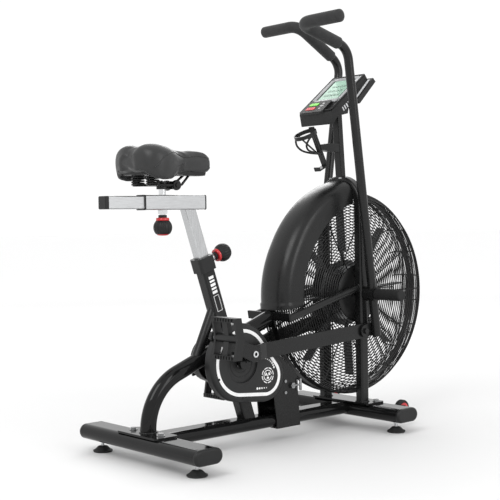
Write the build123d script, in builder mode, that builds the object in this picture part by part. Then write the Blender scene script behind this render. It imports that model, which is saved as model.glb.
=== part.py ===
from build123d import *
from math import cos, radians, sin, tan
import os

# Air bike. Millimetres, +X forward (towards the fan), +Y to the rider's left, +Z up.
# The origin is on the floor, under the middle of the bounding box.

RIGHT = -1
LEFT = 1
SIDES = (RIGHT, LEFT)


def ahead(distance):
    """X of a point that lies this far ahead of the rear stabiliser's axis."""
    return distance - 521.5


# ---- driving dimensions ----------------------------------------------------------------

WALL = 2.5                      # steel tube wall
RUN = 0.05                      # radial clearance of a shaft in its hole

REAR_X = ahead(0)
FRONT_X = ahead(860)
STAB_WIDTH = 100
STAB_HEIGHT = 46
STAB_Z = 61
STAB_TOP = STAB_Z + STAB_HEIGHT / 2
REAR_HALF = 290
FRONT_HALF = 265
CAP_LENGTH = 12
REAR_FOOT_Y = 233
FRONT_FOOT_Y = 212
PLATE = 6
PLATE_TOP = STAB_TOP + PLATE

SPINE_WIDTH = 80
SPINE_HEIGHT = 40
SPINE_Z = 64

FAN_X = ahead(843)
FAN_Z = 455
CAGE_R = 343
GRILLE_IN = 60
GRILLE_OUT = 64
SHROUD_R = 377                  # crown radius, about the shroud's own axis
SHROUD_X = FAN_X + 22
SHROUD_Z = FAN_Z + 10
SHROUD_HALF = 71
SHROUD_ROUND = 46
SHROUD_EDGE_R = 345             # circle of the shroud's inner edge, about a centre of its own
SHROUD_EDGE_CENTRE = (FAN_X + 85, FAN_Z - 13)
AXLE_R = 10

POST_X = ahead(834)
POST_Y = 86
POST_DEPTH = 36
POST_WIDTH = 32
FORK_Z = 751                    # height where the posts start to curve inwards

CRANK_X = ahead(298)
CRANK_Z = 274
THROW = 32                      # radius of the pin that drives the link arm
THROW_ANGLE = 64
CRANK_LENGTH = 170
CRANK_ANGLE = 146
SPINDLE_R = 10
SHELL_R = 30                    # bottom bracket shell
SHELL_HALF = 50
PIN_R = 9
JACK_X = ahead(395)
JACK_Z = 222
JACK_R = 8

SEAT_TILT = 18.5                # seat tube from the vertical, top end rearward
SEAT_X = ahead(228)
SEAT_Z = 560

LEVER_Y = 128
LEVER_R = 15
GRIP_R = 20
EAR_RADIUS = 125.3
EAR_ANGLE = 19.3                # from straight down, rearward, with the lever upright
LEVER_TILT = {RIGHT: -8.3, LEFT: 9.5}

RAIL_Z = 765
RAIL_SIZE = 38
SLEEVE_SIZE = 44
SADDLE_PIN_X = ahead(71)
PULL_R = 4                      # radius of the two spring pins
KNOB_Z = 583                    # height where the lower pin's axis meets the seat tube's
TILT_X = ahead(107)
TILT_Z = 816

CONSOLE_HALF = 75
CONSOLE_SLOPE = 38


# ---- helpers ---------------------------------------------------------------------------

def layer(side, inner, outer):
    """Plane for (X, Z) sketches that are then extruded by outer - inner, on one side of the bike."""
    y = -inner if side == RIGHT else outer
    return Plane.XZ.offset(-y)


def upright(x, z, y=0):
    """Horizontal plane at a height, with its origin at (x, y)."""
    return Plane(origin=(x, y, z), x_dir=(1, 0, 0), z_dir=(0, 0, 1))


def around_fan(angle):
    """Half plane through the fan axis, at an angle from +X to +Z. Local x is the radius and local y is Y."""
    turn = radians(angle)
    return Plane(origin=(FAN_X, 0, FAN_Z), x_dir=(cos(turn), 0, sin(turn)), z_dir=(-sin(turn), 0, cos(turn)))


def around_shroud(angle):
    """As around_fan, about the shroud's own axis, which is ahead of the fan's and above it."""
    turn = radians(angle)
    return Plane(origin=(SHROUD_X, 0, SHROUD_Z), x_dir=(cos(turn), 0, sin(turn)), z_dir=(-sin(turn), 0, cos(turn)))


FAN_AXIS = Axis((FAN_X, 0, FAN_Z), (0, -1, 0))
SHROUD_AXIS = Axis((SHROUD_X, 0, SHROUD_Z), (0, -1, 0))


def on_seat_tube(z):
    """Point of the seat tube's axis at a height."""
    return (SEAT_X + (SEAT_Z - z) * tan(radians(SEAT_TILT)), 0, z)


SEAT_DIR = (-sin(radians(SEAT_TILT)), 0, cos(radians(SEAT_TILT)))
PULL_DIR = (SEAT_DIR[2], 0, -SEAT_DIR[0])


def across_seat_tube(z, along=0):
    """Plane across the seat tube, local x fore and aft, shifted along the tube's axis."""
    return Plane(origin=on_seat_tube(z), x_dir=(SEAT_DIR[2], 0, -SEAT_DIR[0]), z_dir=SEAT_DIR).offset(along)


def polar(x, z, radius, angle):
    """(X, Z) of a point at a radius and an angle, from +X towards +Z."""
    return (x + radius * cos(radians(angle)), z + radius * sin(radians(angle)))


def phase(side):
    """The left half of the crank set is half a turn behind the right half."""
    return 0 if side == RIGHT else 180


def throw_pin(side):
    return polar(CRANK_X, CRANK_Z, THROW, THROW_ANGLE + phase(side))


def pedal_axis(side):
    return polar(CRANK_X, CRANK_Z, CRANK_LENGTH, CRANK_ANGLE + phase(side))


def lever_point(side, forward, up):
    """(X, Z) of a point of a lever that is drawn upright, turned to the lever's rest tilt."""
    tilt = radians(LEVER_TILT[side])
    return (FAN_X + forward * cos(tilt) + up * sin(tilt), FAN_Z - forward * sin(tilt) + up * cos(tilt))


def ear_pin(side):
    lean = radians(EAR_ANGLE)
    return lever_point(side, -EAR_RADIUS * sin(lean), -EAR_RADIUS * cos(lean))


# ---- base ------------------------------------------------------------------------------

def stabiliser(x, half, foot_y):
    with BuildPart() as tube:
        with BuildSketch(layer(LEFT, 0, half - CAP_LENGTH)):
            with Locations((x, STAB_Z)):
                SlotOverall(STAB_WIDTH, STAB_HEIGHT)
                SlotOverall(STAB_WIDTH - 2 * WALL, STAB_HEIGHT - 2 * WALL, mode=Mode.SUBTRACT)
        extrude(amount=2 * (half - CAP_LENGTH))
        for side in SIDES:
            with BuildSketch(upright(x, STAB_Z - STAB_HEIGHT / 2 - 1, side * foot_y)):
                Circle(5 + RUN)
            extrude(amount=WALL + 2, mode=Mode.SUBTRACT)
    return tube


rear_stabiliser = stabiliser(REAR_X, REAR_HALF, REAR_FOOT_Y)
front_stabiliser = stabiliser(FRONT_X, FRONT_HALF, FRONT_FOOT_Y)

with BuildPart() as end_caps:
    for cap_x, cap_half in ((REAR_X, REAR_HALF), (FRONT_X, FRONT_HALF)):
        for cap_side in SIDES:
            with BuildSketch(layer(cap_side, cap_half - CAP_LENGTH, cap_half)):
                with Locations((cap_x, STAB_Z)):
                    SlotOverall(STAB_WIDTH, STAB_HEIGHT)
            extrude(amount=CAP_LENGTH)
    rims = end_caps.edges().filter_by(lambda e: abs(e.center().Y) > FRONT_HALF - 1 and abs(e.center().X) > 0)
    fillet(rims.filter_by(lambda e: abs(abs(e.center().Y) - REAR_HALF) < 0.1
                          or abs(abs(e.center().Y) - FRONT_HALF) < 0.1), 8)


def levelling_foot(x, y):
    """Rubber pad, threaded stem and lock nut."""
    with BuildPart() as foot:
        with BuildSketch(Plane(origin=(x, y, 0), x_dir=(1, 0, 0), z_dir=(0, -1, 0))):
            with BuildLine():
                Polyline((0, 0), (28, 0), (30, 2), (30, 5), (23, 9), (15, 17), (8, 19), (0, 19), (0, 0))
            make_face()
        revolve(axis=Axis((x, y, 0), (0, 0, 1)))
        with BuildSketch(upright(x, 19, y)):
            Circle(5)
        extrude(amount=45)
        with BuildSketch(upright(x, 30, y)):
            RegularPolygon(9, 6)
        extrude(amount=7.5)
    return foot


feet = {
    "foot_rear_right": levelling_foot(REAR_X, -REAR_FOOT_Y),
    "foot_rear_left": levelling_foot(REAR_X, REAR_FOOT_Y),
    "foot_front_right": levelling_foot(FRONT_X, -FRONT_FOOT_Y),
    "foot_front_left": levelling_foot(FRONT_X, FRONT_FOOT_Y),
}

with BuildPart() as spine_tube:
    with BuildSketch(Plane.YZ.offset(REAR_X + 20)):
        with Locations((0, SPINE_Z)):
            SlotOverall(SPINE_WIDTH, SPINE_HEIGHT)
            SlotOverall(SPINE_WIDTH - 2 * WALL, SPINE_HEIGHT - 2 * WALL, mode=Mode.SUBTRACT)
    extrude(amount=FRONT_X - REAR_X - 40)
    for stab_x in (REAR_X, FRONT_X):
        with BuildSketch(layer(LEFT, 0, 60)):
            with Locations((stab_x, STAB_Z)):
                SlotOverall(STAB_WIDTH, STAB_HEIGHT)
                Rectangle(STAB_WIDTH - 12, STAB_HEIGHT + 2 * PLATE)
        extrude(amount=120, mode=Mode.SUBTRACT)

REAR_PLATE_HALF = 98
FRONT_PLATE_HALF = 132
REAR_BOLT_Y = 68
FRONT_BOLT_Y = 119
FRONT_PLATE_X = FRONT_X - 8
with BuildPart() as mount_plates:
    with BuildSketch(upright(REAR_X, STAB_TOP)):
        RectangleRounded(82, 2 * REAR_PLATE_HALF, 10)
    with BuildSketch(upright(FRONT_PLATE_X, STAB_TOP)):
        RectangleRounded(84, 2 * FRONT_PLATE_HALF, 10)
    extrude(amount=PLATE)

# Bolt heads on the plates, the jackshaft bracket's screws and its belt tension bolt.
BRACKET_OUT = 44
TENSION_X = ahead(546)
TENSION_Z = 173
with BuildPart() as frame_bolts:
    for bolt_x, bolt_y in ((REAR_X, REAR_BOLT_Y), (FRONT_X + 6, FRONT_BOLT_Y)):
        for bolt_side in SIDES:
            with BuildSketch(upright(bolt_x, PLATE_TOP, bolt_side * bolt_y)):
                Circle(12)
            extrude(amount=2)
            with BuildSketch(upright(bolt_x, PLATE_TOP + 2, bolt_side * bolt_y)):
                RegularPolygon(9, 6)
            extrude(amount=6)
    for screw_z in (152.5, 189):
        with BuildSketch(layer(RIGHT, BRACKET_OUT, BRACKET_OUT + 3)):
            with Locations((ahead(517.5), screw_z)):
                Circle(5)
        extrude(amount=3)
    with BuildSketch(layer(RIGHT, BRACKET_OUT, BRACKET_OUT + 9)):
        with Locations((TENSION_X, TENSION_Z)):
            RegularPolygon(10, 6)
    extrude(amount=9)
    with BuildSketch(layer(RIGHT, BRACKET_OUT, BRACKET_OUT + 4)):
        with Locations((TENSION_X + 22, TENSION_Z)):
            Rectangle(5, 34)
            with Locations((-11, 0)):
                Rectangle(20, 5)
    extrude(amount=4)


WHEEL_X = ahead(946)
WHEEL_Y = 162
WHEEL_Z = 61


def transport_wheel(side):
    """Black tyre with a hub, on the stub axle of the front stabiliser's bracket."""
    with BuildPart() as wheel:
        with BuildSketch(layer(side, WHEEL_Y - 10, WHEEL_Y + 10)):
            with Locations((WHEEL_X, WHEEL_Z)):
                Circle(30)
                Circle(6 + RUN, mode=Mode.SUBTRACT)
        extrude(amount=20)
        fillet(wheel.edges().filter_by(GeomType.CIRCLE).sort_by(SortBy.RADIUS)[-2:], 5)
    return wheel


wheel_right = transport_wheel(RIGHT)
wheel_left = transport_wheel(LEFT)

with BuildPart() as front_weldment:
    add(front_stabiliser.part)
    for bracket_side in SIDES:
        for ear_in in (WHEEL_Y - 17, WHEEL_Y + 12):
            with BuildSketch(layer(bracket_side, ear_in, ear_in + 5)):
                with BuildLine():
                    Polyline((FRONT_X + 30, STAB_Z - 20), (WHEEL_X, WHEEL_Z - 13), (WHEEL_X + 12, WHEEL_Z),
                             (WHEEL_X, WHEEL_Z + 13), (FRONT_X + 30, STAB_Z + 20),
                             (FRONT_X + 30, STAB_Z - 20))
                make_face()
                with Locations((FRONT_X, STAB_Z)):
                    SlotOverall(STAB_WIDTH, STAB_HEIGHT, mode=Mode.SUBTRACT)
            extrude(amount=5)
        with BuildSketch(layer(bracket_side, WHEEL_Y - 12, WHEEL_Y + 12)):
            with Locations((WHEEL_X, WHEEL_Z)):
                Circle(6)
        extrude(amount=24)

# ---- frame tubes -----------------------------------------------------------------------

ARCH_SLOPE = 20.5
ARCH_END = (ahead(487), 392)
ARCH_FOOT_X = ahead(5)
ARCH_BEND = 168
ARCH_CORNER_Z = ARCH_END[1] - (ARCH_END[0] - ARCH_FOOT_X) * tan(radians(ARCH_SLOPE))
CROSS_PLATE_IN = CAGE_R + 9
CROSS_PLATE_OUT = CROSS_PLATE_IN + 8
PLATE_FROM = 187                # angle round the fan axis where the cross plate begins, under the shroud
BRACE_R = 12.5


def arch_solid(half_height, half_width):
    """The arch tube's run, with an oval section. It ends at the cross plate under the shroud."""
    with BuildPart() as run:
        with BuildLine(Plane.XZ) as path:
            FilletPolyline((ARCH_FOOT_X, PLATE_TOP), (ARCH_FOOT_X, ARCH_CORNER_Z),
                           (ARCH_END[0] + 25, ARCH_END[1] + 25 * tan(radians(ARCH_SLOPE))), radius=ARCH_BEND)
        with BuildSketch(upright(ARCH_FOOT_X, PLATE_TOP)):
            Ellipse(half_height, half_width)
        sweep(path=path.line)
        with BuildSketch(layer(LEFT, 0, 60)):
            with Locations((FAN_X, FAN_Z)):
                Circle(CROSS_PLATE_OUT)
        extrude(amount=120, mode=Mode.SUBTRACT)
    return run


arch_outer = arch_solid(25, 22)
arch_inner = arch_solid(25 - WALL, 22 - WALL)

# The curved cross plate at the arch's end carries the shroud's lip and the ends of the two braces.
with BuildPart() as arch_tube:
    add(arch_outer.part)
    add(arch_inner.part, mode=Mode.SUBTRACT)
    for plate_half, plate_arc in ((POST_Y + BRACE_R, 4.2), (26, 8)):
        with BuildSketch(around_fan(PLATE_FROM)):
            with Locations(((CROSS_PLATE_IN + CROSS_PLATE_OUT) / 2, 0)):
                Rectangle(CROSS_PLATE_OUT - CROSS_PLATE_IN, 2 * plate_half)
        revolve(axis=FAN_AXIS, revolution_arc=plate_arc)


def seat_tube_solid(from_z, to_z, length, width, corner):
    rise = (to_z - from_z) / cos(radians(SEAT_TILT))
    with BuildPart() as run:
        with BuildSketch(across_seat_tube(from_z)):
            RectangleRounded(length, width, corner)
        extrude(amount=rise)
    return run


TUBE_LENGTH = 46
TUBE_WIDTH = 40
COLLAR_TOP = 598
COLLAR_BOTTOM = 556
seat_tube_whole = seat_tube_solid(60, COLLAR_TOP - 6, TUBE_LENGTH, TUBE_WIDTH, 6)
seat_tube_bore = seat_tube_solid(50, COLLAR_TOP + 6, TUBE_LENGTH - 2 * WALL, TUBE_WIDTH - 2 * WALL, 4)

# The upper run stands on the arch, and the lower one joins the arch to the spine.
with BuildPart() as seat_tube:
    add(seat_tube_whole.part)
    add(seat_tube_bore.part, mode=Mode.SUBTRACT)
    add(arch_outer.part, mode=Mode.SUBTRACT)
    with BuildSketch(Plane.YZ.offset(REAR_X + 60)):
        with Locations((0, SPINE_Z)):
            SlotOverall(SPINE_WIDTH, SPINE_HEIGHT)
            with Locations((0, -SPINE_HEIGHT)):
                Rectangle(SPINE_WIDTH, SPINE_HEIGHT * 2)
    extrude(amount=500, mode=Mode.SUBTRACT)
    with BuildSketch(layer(LEFT, 0, SHELL_HALF)):
        with Locations((CRANK_X, CRANK_Z)):
            Circle(SHELL_R)
    extrude(amount=2 * SHELL_HALF, mode=Mode.SUBTRACT)
    with BuildSketch(Plane(origin=on_seat_tube(KNOB_Z), x_dir=(0, 1, 0), z_dir=PULL_DIR)):
        Circle(PULL_R + RUN)
    extrude(amount=40, mode=Mode.SUBTRACT)

STRUT_LOW = (ahead(180), 272)
STRUT_HIGH = (ahead(261), 443)
strut_run = Vector(STRUT_HIGH[0] - STRUT_LOW[0], 0, STRUT_HIGH[1] - STRUT_LOW[1])
with BuildPart() as seat_brace:
    with BuildSketch(Plane(origin=(STRUT_LOW[0], 0, STRUT_LOW[1]), x_dir=(0, 1, 0), z_dir=strut_run)):
        Circle(16)
        Circle(16 - WALL, mode=Mode.SUBTRACT)
    extrude(amount=strut_run.length)
    add(arch_outer.part, mode=Mode.SUBTRACT)
    add(seat_tube_whole.part, mode=Mode.SUBTRACT)

with BuildPart() as bottom_bracket:
    with BuildSketch(layer(LEFT, 0, SHELL_HALF)):
        with Locations((CRANK_X, CRANK_Z)):
            Circle(SHELL_R)
            Circle(SHELL_R - 6, mode=Mode.SUBTRACT)
    extrude(amount=2 * SHELL_HALF)
    add(arch_outer.part, mode=Mode.SUBTRACT)

# Cradle round the spine: two side plates that carry the jackshaft, and a floor under the spine.
BRACKET_IN = 40
BEARING_R = 16
with BuildPart() as drive_bracket:
    for bracket_side in SIDES:
        with BuildSketch(layer(bracket_side, BRACKET_IN, BRACKET_OUT)):
            with BuildLine():
                Polyline((ahead(481), 40), (ahead(582), 40), (ahead(570), 205), (ahead(472), 296),
                         (ahead(400), 256), (ahead(366), 228), (ahead(372), 196), (ahead(470), 150),
                         (ahead(481), 40))
            make_face()
            with Locations((JACK_X, JACK_Z)):
                Circle(BEARING_R, mode=Mode.SUBTRACT)
        extrude(amount=BRACKET_OUT - BRACKET_IN)
    with BuildSketch(upright(ahead(531.5), 40)):
        Rectangle(101, 2 * BRACKET_OUT)
    extrude(amount=SPINE_Z - SPINE_HEIGHT / 2 - 40)
    with BuildSketch(Plane.XZ.offset(-BRACKET_OUT)):
        with Locations((ahead(563), 137)):
            Rectangle(4, 102)
    extrude(amount=2 * BRACKET_OUT)

with BuildPart() as bearings:
    for bearing_side in SIDES:
        with BuildSketch(layer(bearing_side, SHELL_HALF - 14, SHELL_HALF)):
            with Locations((CRANK_X, CRANK_Z)):
                Circle(SHELL_R - 6)
                Circle(SPINDLE_R + RUN, mode=Mode.SUBTRACT)
        extrude(amount=14)
        with BuildSketch(layer(bearing_side, BRACKET_IN - 4, BRACKET_OUT)):
            with Locations((JACK_X, JACK_Z)):
                Circle(BEARING_R)
                Circle(JACK_R + RUN, mode=Mode.SUBTRACT)
        extrude(amount=BRACKET_OUT - BRACKET_IN + 4)

# Two posts joined by a half circle over the fan, as one bent tube.
def fork_solid(depth, width, corner):
    with BuildPart() as run:
        with BuildLine(Plane.YZ.offset(POST_X)) as path:
            Line((-POST_Y, PLATE_TOP), (-POST_Y, FORK_Z))
            ThreePointArc((-POST_Y, FORK_Z), (0, FORK_Z + POST_Y), (POST_Y, FORK_Z))
            Line((POST_Y, FORK_Z), (POST_Y, PLATE_TOP))
        with BuildSketch(upright(POST_X, PLATE_TOP, -POST_Y)):
            RectangleRounded(depth, width, corner)
        sweep(path=path.wire())
    return run


fork_outer = fork_solid(POST_DEPTH, POST_WIDTH, 8)
fork_bore = fork_solid(POST_DEPTH - 2 * WALL, POST_WIDTH - 2 * WALL, 5)
with BuildPart() as fan_fork:
    add(fork_outer.part)
    add(fork_bore.part, mode=Mode.SUBTRACT)
    with BuildSketch(layer(LEFT, 0, 120)):
        with Locations((FAN_X, FAN_Z)):
            Circle(AXLE_R)
    extrude(amount=240, mode=Mode.SUBTRACT)

BRACE_FRONT = (POST_X, 479)
BRACE_REAR = (ahead(492), 392)
brace_run = Vector(BRACE_REAR[0] - BRACE_FRONT[0], 0, BRACE_REAR[1] - BRACE_FRONT[1])
with BuildPart() as fork_braces:
    for brace_side in SIDES:
        with BuildSketch(Plane(origin=(BRACE_FRONT[0], brace_side * POST_Y, BRACE_FRONT[1]),
                               x_dir=(0, 1, 0), z_dir=brace_run)):
            Circle(BRACE_R)
            Circle(BRACE_R - WALL, mode=Mode.SUBTRACT)
        extrude(amount=brace_run.length)
    with BuildSketch(Plane.XZ.offset(-120)):
        with Locations((FAN_X, FAN_Z)):
            Circle(CROSS_PLATE_OUT + 60)
            Circle(CROSS_PLATE_IN, mode=Mode.SUBTRACT)
        with Locations((POST_X + 50, FAN_Z)):
            Rectangle(POST_DEPTH + 100, 200)
    extrude(amount=240, mode=Mode.SUBTRACT)

with BuildPart() as brace_tubes:
    add(seat_brace.part)
    add(fork_braces.part)

# ---- fan cage and shroud ---------------------------------------------------------------

GRILLE_WIRE = 3.5
GRILLE_R = 322
HUB_PLATE_R = 95
GRILLE_PITCH = 15
RIB_COUNT = 24


def grille(side):
    """Flat side of the cage: a closed hub plate, concentric wires and radial ribs."""
    rings = int((GRILLE_R - HUB_PLATE_R) / GRILLE_PITCH)
    with BuildPart() as disc:
        with BuildSketch(layer(side, GRILLE_IN, GRILLE_OUT)):
            with Locations((FAN_X, FAN_Z)):
                for ring in range(rings):
                    Circle(GRILLE_R - ring * GRILLE_PITCH)
                    Circle(GRILLE_R - ring * GRILLE_PITCH - GRILLE_WIRE, mode=Mode.SUBTRACT)
                Circle(HUB_PLATE_R)
                with PolarLocations((GRILLE_R + HUB_PLATE_R - 6) / 2, RIB_COUNT // 2):
                    Rectangle(GRILLE_R - HUB_PLATE_R + 2, 4)
                Circle(AXLE_R, mode=Mode.SUBTRACT)
        extrude(amount=GRILLE_OUT - GRILLE_IN)
    return disc


grille_right = grille(RIGHT)
grille_left = grille(LEFT)

# The rim: a closed hoop, and on each side two rows of windows between ribs, stepping in to the grille.
RIM_THICK = 3
WINDOW_ROWS = ((28, 40), (43.5, 56))
WINDOW_ARC = 13.6
with BuildPart() as cage_rim:
    with BuildSketch(around_fan(0)):
        with BuildLine():
            Polyline((CAGE_R, -42), (CAGE_R, 42), (GRILLE_R, GRILLE_IN), (GRILLE_R - 4, GRILLE_IN),
                     (CAGE_R - RIM_THICK, 40), (CAGE_R - RIM_THICK, -40), (GRILLE_R - 4, -GRILLE_IN),
                     (GRILLE_R, -GRILLE_IN), (CAGE_R, -42))
        make_face()
    revolve(axis=FAN_AXIS)
    for rib in range(RIB_COUNT):
        with BuildSketch(around_fan(rib * 360 / RIB_COUNT)):
            for rim_side in SIDES:
                for row_in, row_out in WINDOW_ROWS:
                    with Locations((CAGE_R - 12, rim_side * (row_in + row_out) / 2)):
                        Rectangle(40, row_out - row_in)
        revolve(axis=FAN_AXIS, revolution_arc=WINDOW_ARC, mode=Mode.SUBTRACT)
    with BuildSketch(layer(LEFT, 43, GRILLE_IN)):
        with Locations((ahead(552), 290)):
            Rectangle(90, 110)
    extrude(amount=GRILLE_IN - 43, mode=Mode.SUBTRACT)

SHROUD_FROM = 88
SHROUD_TO = 187.2
SHROUD_WALL = 3
SHROUD_SPAN = 240
SHROUD_LOW_R = 240
SHROUD_END_X = ahead(814)       # flat front end, just behind the fork
LIP = 2
LIP_ARC = 2
with BuildPart() as fan_shroud:
    for first, arc, grow in ((SHROUD_FROM, SHROUD_TO - SHROUD_FROM, 0), (SHROUD_TO - LIP_ARC, LIP_ARC, LIP)):
        with BuildSketch(around_shroud(first)):
            with Locations((SHROUD_R - SHROUD_SPAN / 2, 0)):
                RectangleRounded(SHROUD_SPAN + 2 * grow, 2 * (SHROUD_HALF + grow), SHROUD_ROUND + grow)
                RectangleRounded(SHROUD_SPAN - 2 * SHROUD_WALL, 2 * (SHROUD_HALF - SHROUD_WALL),
                                 SHROUD_ROUND - SHROUD_WALL, mode=Mode.SUBTRACT)
            with Locations((SHROUD_LOW_R - SHROUD_SPAN / 2, 0)):
                Rectangle(SHROUD_SPAN, 2 * SHROUD_HALF + 20, mode=Mode.SUBTRACT)
        revolve(axis=SHROUD_AXIS, revolution_arc=arc)
    with BuildSketch(layer(LEFT, 0, 120)):
        with Locations(SHROUD_EDGE_CENTRE):
            Circle(SHROUD_EDGE_R)
        with Locations((SHROUD_END_X + 100, SHROUD_Z + 200)):
            Rectangle(200, 600)
    extrude(amount=240, mode=Mode.SUBTRACT)

# ---- drive -----------------------------------------------------------------------------

HOUSING_R = 121
HOUSING_NOSE_R = 80
HOUSING_IN = 52
HOUSING_SPLIT = 66
HOUSING_OUT = 88
HOUSING_FACE = 80                # inner side of the outer cover's face
HOUSING_WALL = 3
RECESS_R = 62


def teardrop(inset):
    """Outline of the drive housing: a hull round the crank circle and the smaller jackshaft circle."""
    with BuildSketch(mode=Mode.PRIVATE) as outline:
        with Locations((CRANK_X, CRANK_Z)):
            Circle(HOUSING_R - inset)
        with Locations((JACK_X, JACK_Z)):
            Circle(HOUSING_NOSE_R - inset)
        make_hull()
    return outline.sketch


with BuildPart() as housing_outer:
    with BuildSketch(layer(RIGHT, HOUSING_SPLIT, HOUSING_OUT)):
        add(teardrop(0))
    extrude(amount=HOUSING_OUT - HOUSING_SPLIT)
    fillet(housing_outer.faces().sort_by(Axis.Y)[0].edges(), 12)
    with BuildSketch(layer(RIGHT, HOUSING_SPLIT, HOUSING_FACE)):
        add(teardrop(HOUSING_WALL))
    extrude(amount=HOUSING_FACE - HOUSING_SPLIT, mode=Mode.SUBTRACT)
    with BuildSketch(layer(RIGHT, HOUSING_FACE + 3, HOUSING_OUT)):
        with Locations((CRANK_X, CRANK_Z)):
            Circle(RECESS_R)
    extrude(amount=HOUSING_OUT - HOUSING_FACE - 3, mode=Mode.SUBTRACT)
    with BuildSketch(layer(RIGHT, HOUSING_FACE, HOUSING_OUT)):
        with Locations((CRANK_X, CRANK_Z)):
            Circle(18)
    extrude(amount=HOUSING_OUT - HOUSING_FACE, mode=Mode.SUBTRACT)

with BuildPart() as housing_inner:
    with BuildSketch(layer(RIGHT, HOUSING_IN, HOUSING_SPLIT)):
        add(teardrop(0))
    extrude(amount=HOUSING_SPLIT - HOUSING_IN)
    fillet(housing_inner.faces().sort_by(Axis.Y)[-1].edges(), 6)
    with BuildSketch(layer(RIGHT, HOUSING_IN + HOUSING_WALL, HOUSING_SPLIT)):
        add(teardrop(HOUSING_WALL))
    extrude(amount=HOUSING_SPLIT - HOUSING_IN - HOUSING_WALL, mode=Mode.SUBTRACT)
    with BuildSketch(layer(RIGHT, HOUSING_IN, HOUSING_SPLIT)):
        with Locations((CRANK_X, CRANK_Z)):
            Circle(18)
        with Locations((JACK_X, JACK_Z)):
            Circle(12)
    extrude(amount=HOUSING_SPLIT - HOUSING_IN, mode=Mode.SUBTRACT)

# Case of the second belt, from the crank's left side to the rear of the fan cage.
GUARD_IN = 45
GUARD_OUT = 84
GUARD_TIP = (ahead(560), 308)


def guard_outline(inset):
    with BuildSketch(mode=Mode.PRIVATE) as outline:
        with Locations((CRANK_X, CRANK_Z)):
            Circle(70 - inset)
        with Locations((JACK_X, JACK_Z)):
            Circle(62 - inset)
        with Locations(GUARD_TIP):
            Circle(46 - inset)
        make_hull()
        with Locations((FAN_X, FAN_Z)):
            Circle(CAGE_R + 3, mode=Mode.SUBTRACT)
    return outline.sketch


with BuildPart() as belt_guard:
    with BuildSketch(layer(LEFT, GUARD_IN, GUARD_OUT)):
        add(guard_outline(0))
    extrude(amount=GUARD_OUT - GUARD_IN)
    fillet(belt_guard.faces().sort_by(Axis.Y)[-1].edges(), 8)
    with BuildSketch(layer(LEFT, GUARD_IN, GUARD_OUT - HOUSING_WALL)):
        add(guard_outline(HOUSING_WALL))
    extrude(amount=GUARD_OUT - GUARD_IN - HOUSING_WALL, mode=Mode.SUBTRACT)
    with BuildSketch(layer(LEFT, GUARD_IN, GUARD_OUT)):
        with Locations((CRANK_X, CRANK_Z)):
            Circle(18)
    extrude(amount=GUARD_OUT - GUARD_IN, mode=Mode.SUBTRACT)

# Belt pulleys: crank to jackshaft on the right, jackshaft to fan on the left.
CRANK_PULLEY_R = 78
JACK_SMALL_R = 21
JACK_LARGE_R = 45
FAN_PULLEY_R = 22
FIRST_BELT = (61, 73)
SECOND_BELT = (47, 57)
BELT_THICK = 2.5


def belt(side, span, wheel_a, wheel_b):
    """Flat belt round two pulleys, given as (x, z, radius)."""
    with BuildPart() as loop:
        with BuildSketch(layer(side, *span)):
            for x, z, radius in (wheel_a, wheel_b):
                with Locations((x, z)):
                    Circle(radius + BELT_THICK + 0.3)
            make_hull()
            with BuildSketch(mode=Mode.PRIVATE) as inside:
                for x, z, radius in (wheel_a, wheel_b):
                    with Locations((x, z)):
                        Circle(radius + 0.3)
                make_hull()
            add(inside.sketch, mode=Mode.SUBTRACT)
        extrude(amount=span[1] - span[0])
    return loop


first_belt = belt(RIGHT, FIRST_BELT, (CRANK_X, CRANK_Z, CRANK_PULLEY_R), (JACK_X, JACK_Z, JACK_SMALL_R))
second_belt = belt(LEFT, SECOND_BELT, (JACK_X, JACK_Z, JACK_LARGE_R), (FAN_X, FAN_Z, FAN_PULLEY_R))
with BuildPart() as drive_belts:
    add(first_belt.part)
    add(second_belt.part)

WEB_IN = 90
WEB_OUT = 103
ARM_IN = 121
ARM_OUT = 133
PEDAL_IN = 142
PEDAL_OUT = 248

# Spindle with a web at each end that holds the throw pin.
with BuildPart() as crank_spindle:
    with BuildSketch(layer(LEFT, 0, WEB_IN)):
        with Locations((CRANK_X, CRANK_Z)):
            Circle(SPINDLE_R)
    extrude(amount=2 * WEB_IN)
    for web_side in SIDES:
        with BuildSketch(layer(web_side, WEB_IN, WEB_OUT)):
            with Locations((CRANK_X, CRANK_Z)):
                Circle(20)
            with Locations(throw_pin(web_side)):
                Circle(17)
            make_hull()
        extrude(amount=WEB_OUT - WEB_IN)
        with BuildSketch(layer(web_side, WEB_OUT, ARM_IN)):
            with Locations(throw_pin(web_side)):
                Circle(PIN_R)
        extrude(amount=ARM_IN - WEB_OUT)

with BuildPart() as crank_pulley:
    with BuildSketch(layer(RIGHT, *FIRST_BELT)):
        with Locations((CRANK_X, CRANK_Z)):
            Circle(CRANK_PULLEY_R)
            Circle(SPINDLE_R, mode=Mode.SUBTRACT)
            with PolarLocations(46, 6):
                Circle(15, mode=Mode.SUBTRACT)
    extrude(amount=FIRST_BELT[1] - FIRST_BELT[0])

with BuildPart() as jackshaft:
    with BuildSketch(layer(LEFT, 0, SECOND_BELT[1])):
        with Locations((JACK_X, JACK_Z)):
            Circle(JACK_R)
    extrude(amount=SECOND_BELT[1] + FIRST_BELT[1])
    with BuildSketch(layer(RIGHT, *FIRST_BELT)):
        with Locations((JACK_X, JACK_Z)):
            Circle(JACK_SMALL_R)
    extrude(amount=FIRST_BELT[1] - FIRST_BELT[0])
    with BuildSketch(layer(LEFT, *SECOND_BELT)):
        with Locations((JACK_X, JACK_Z)):
            Circle(JACK_LARGE_R)
    extrude(amount=SECOND_BELT[1] - SECOND_BELT[0])


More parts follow.
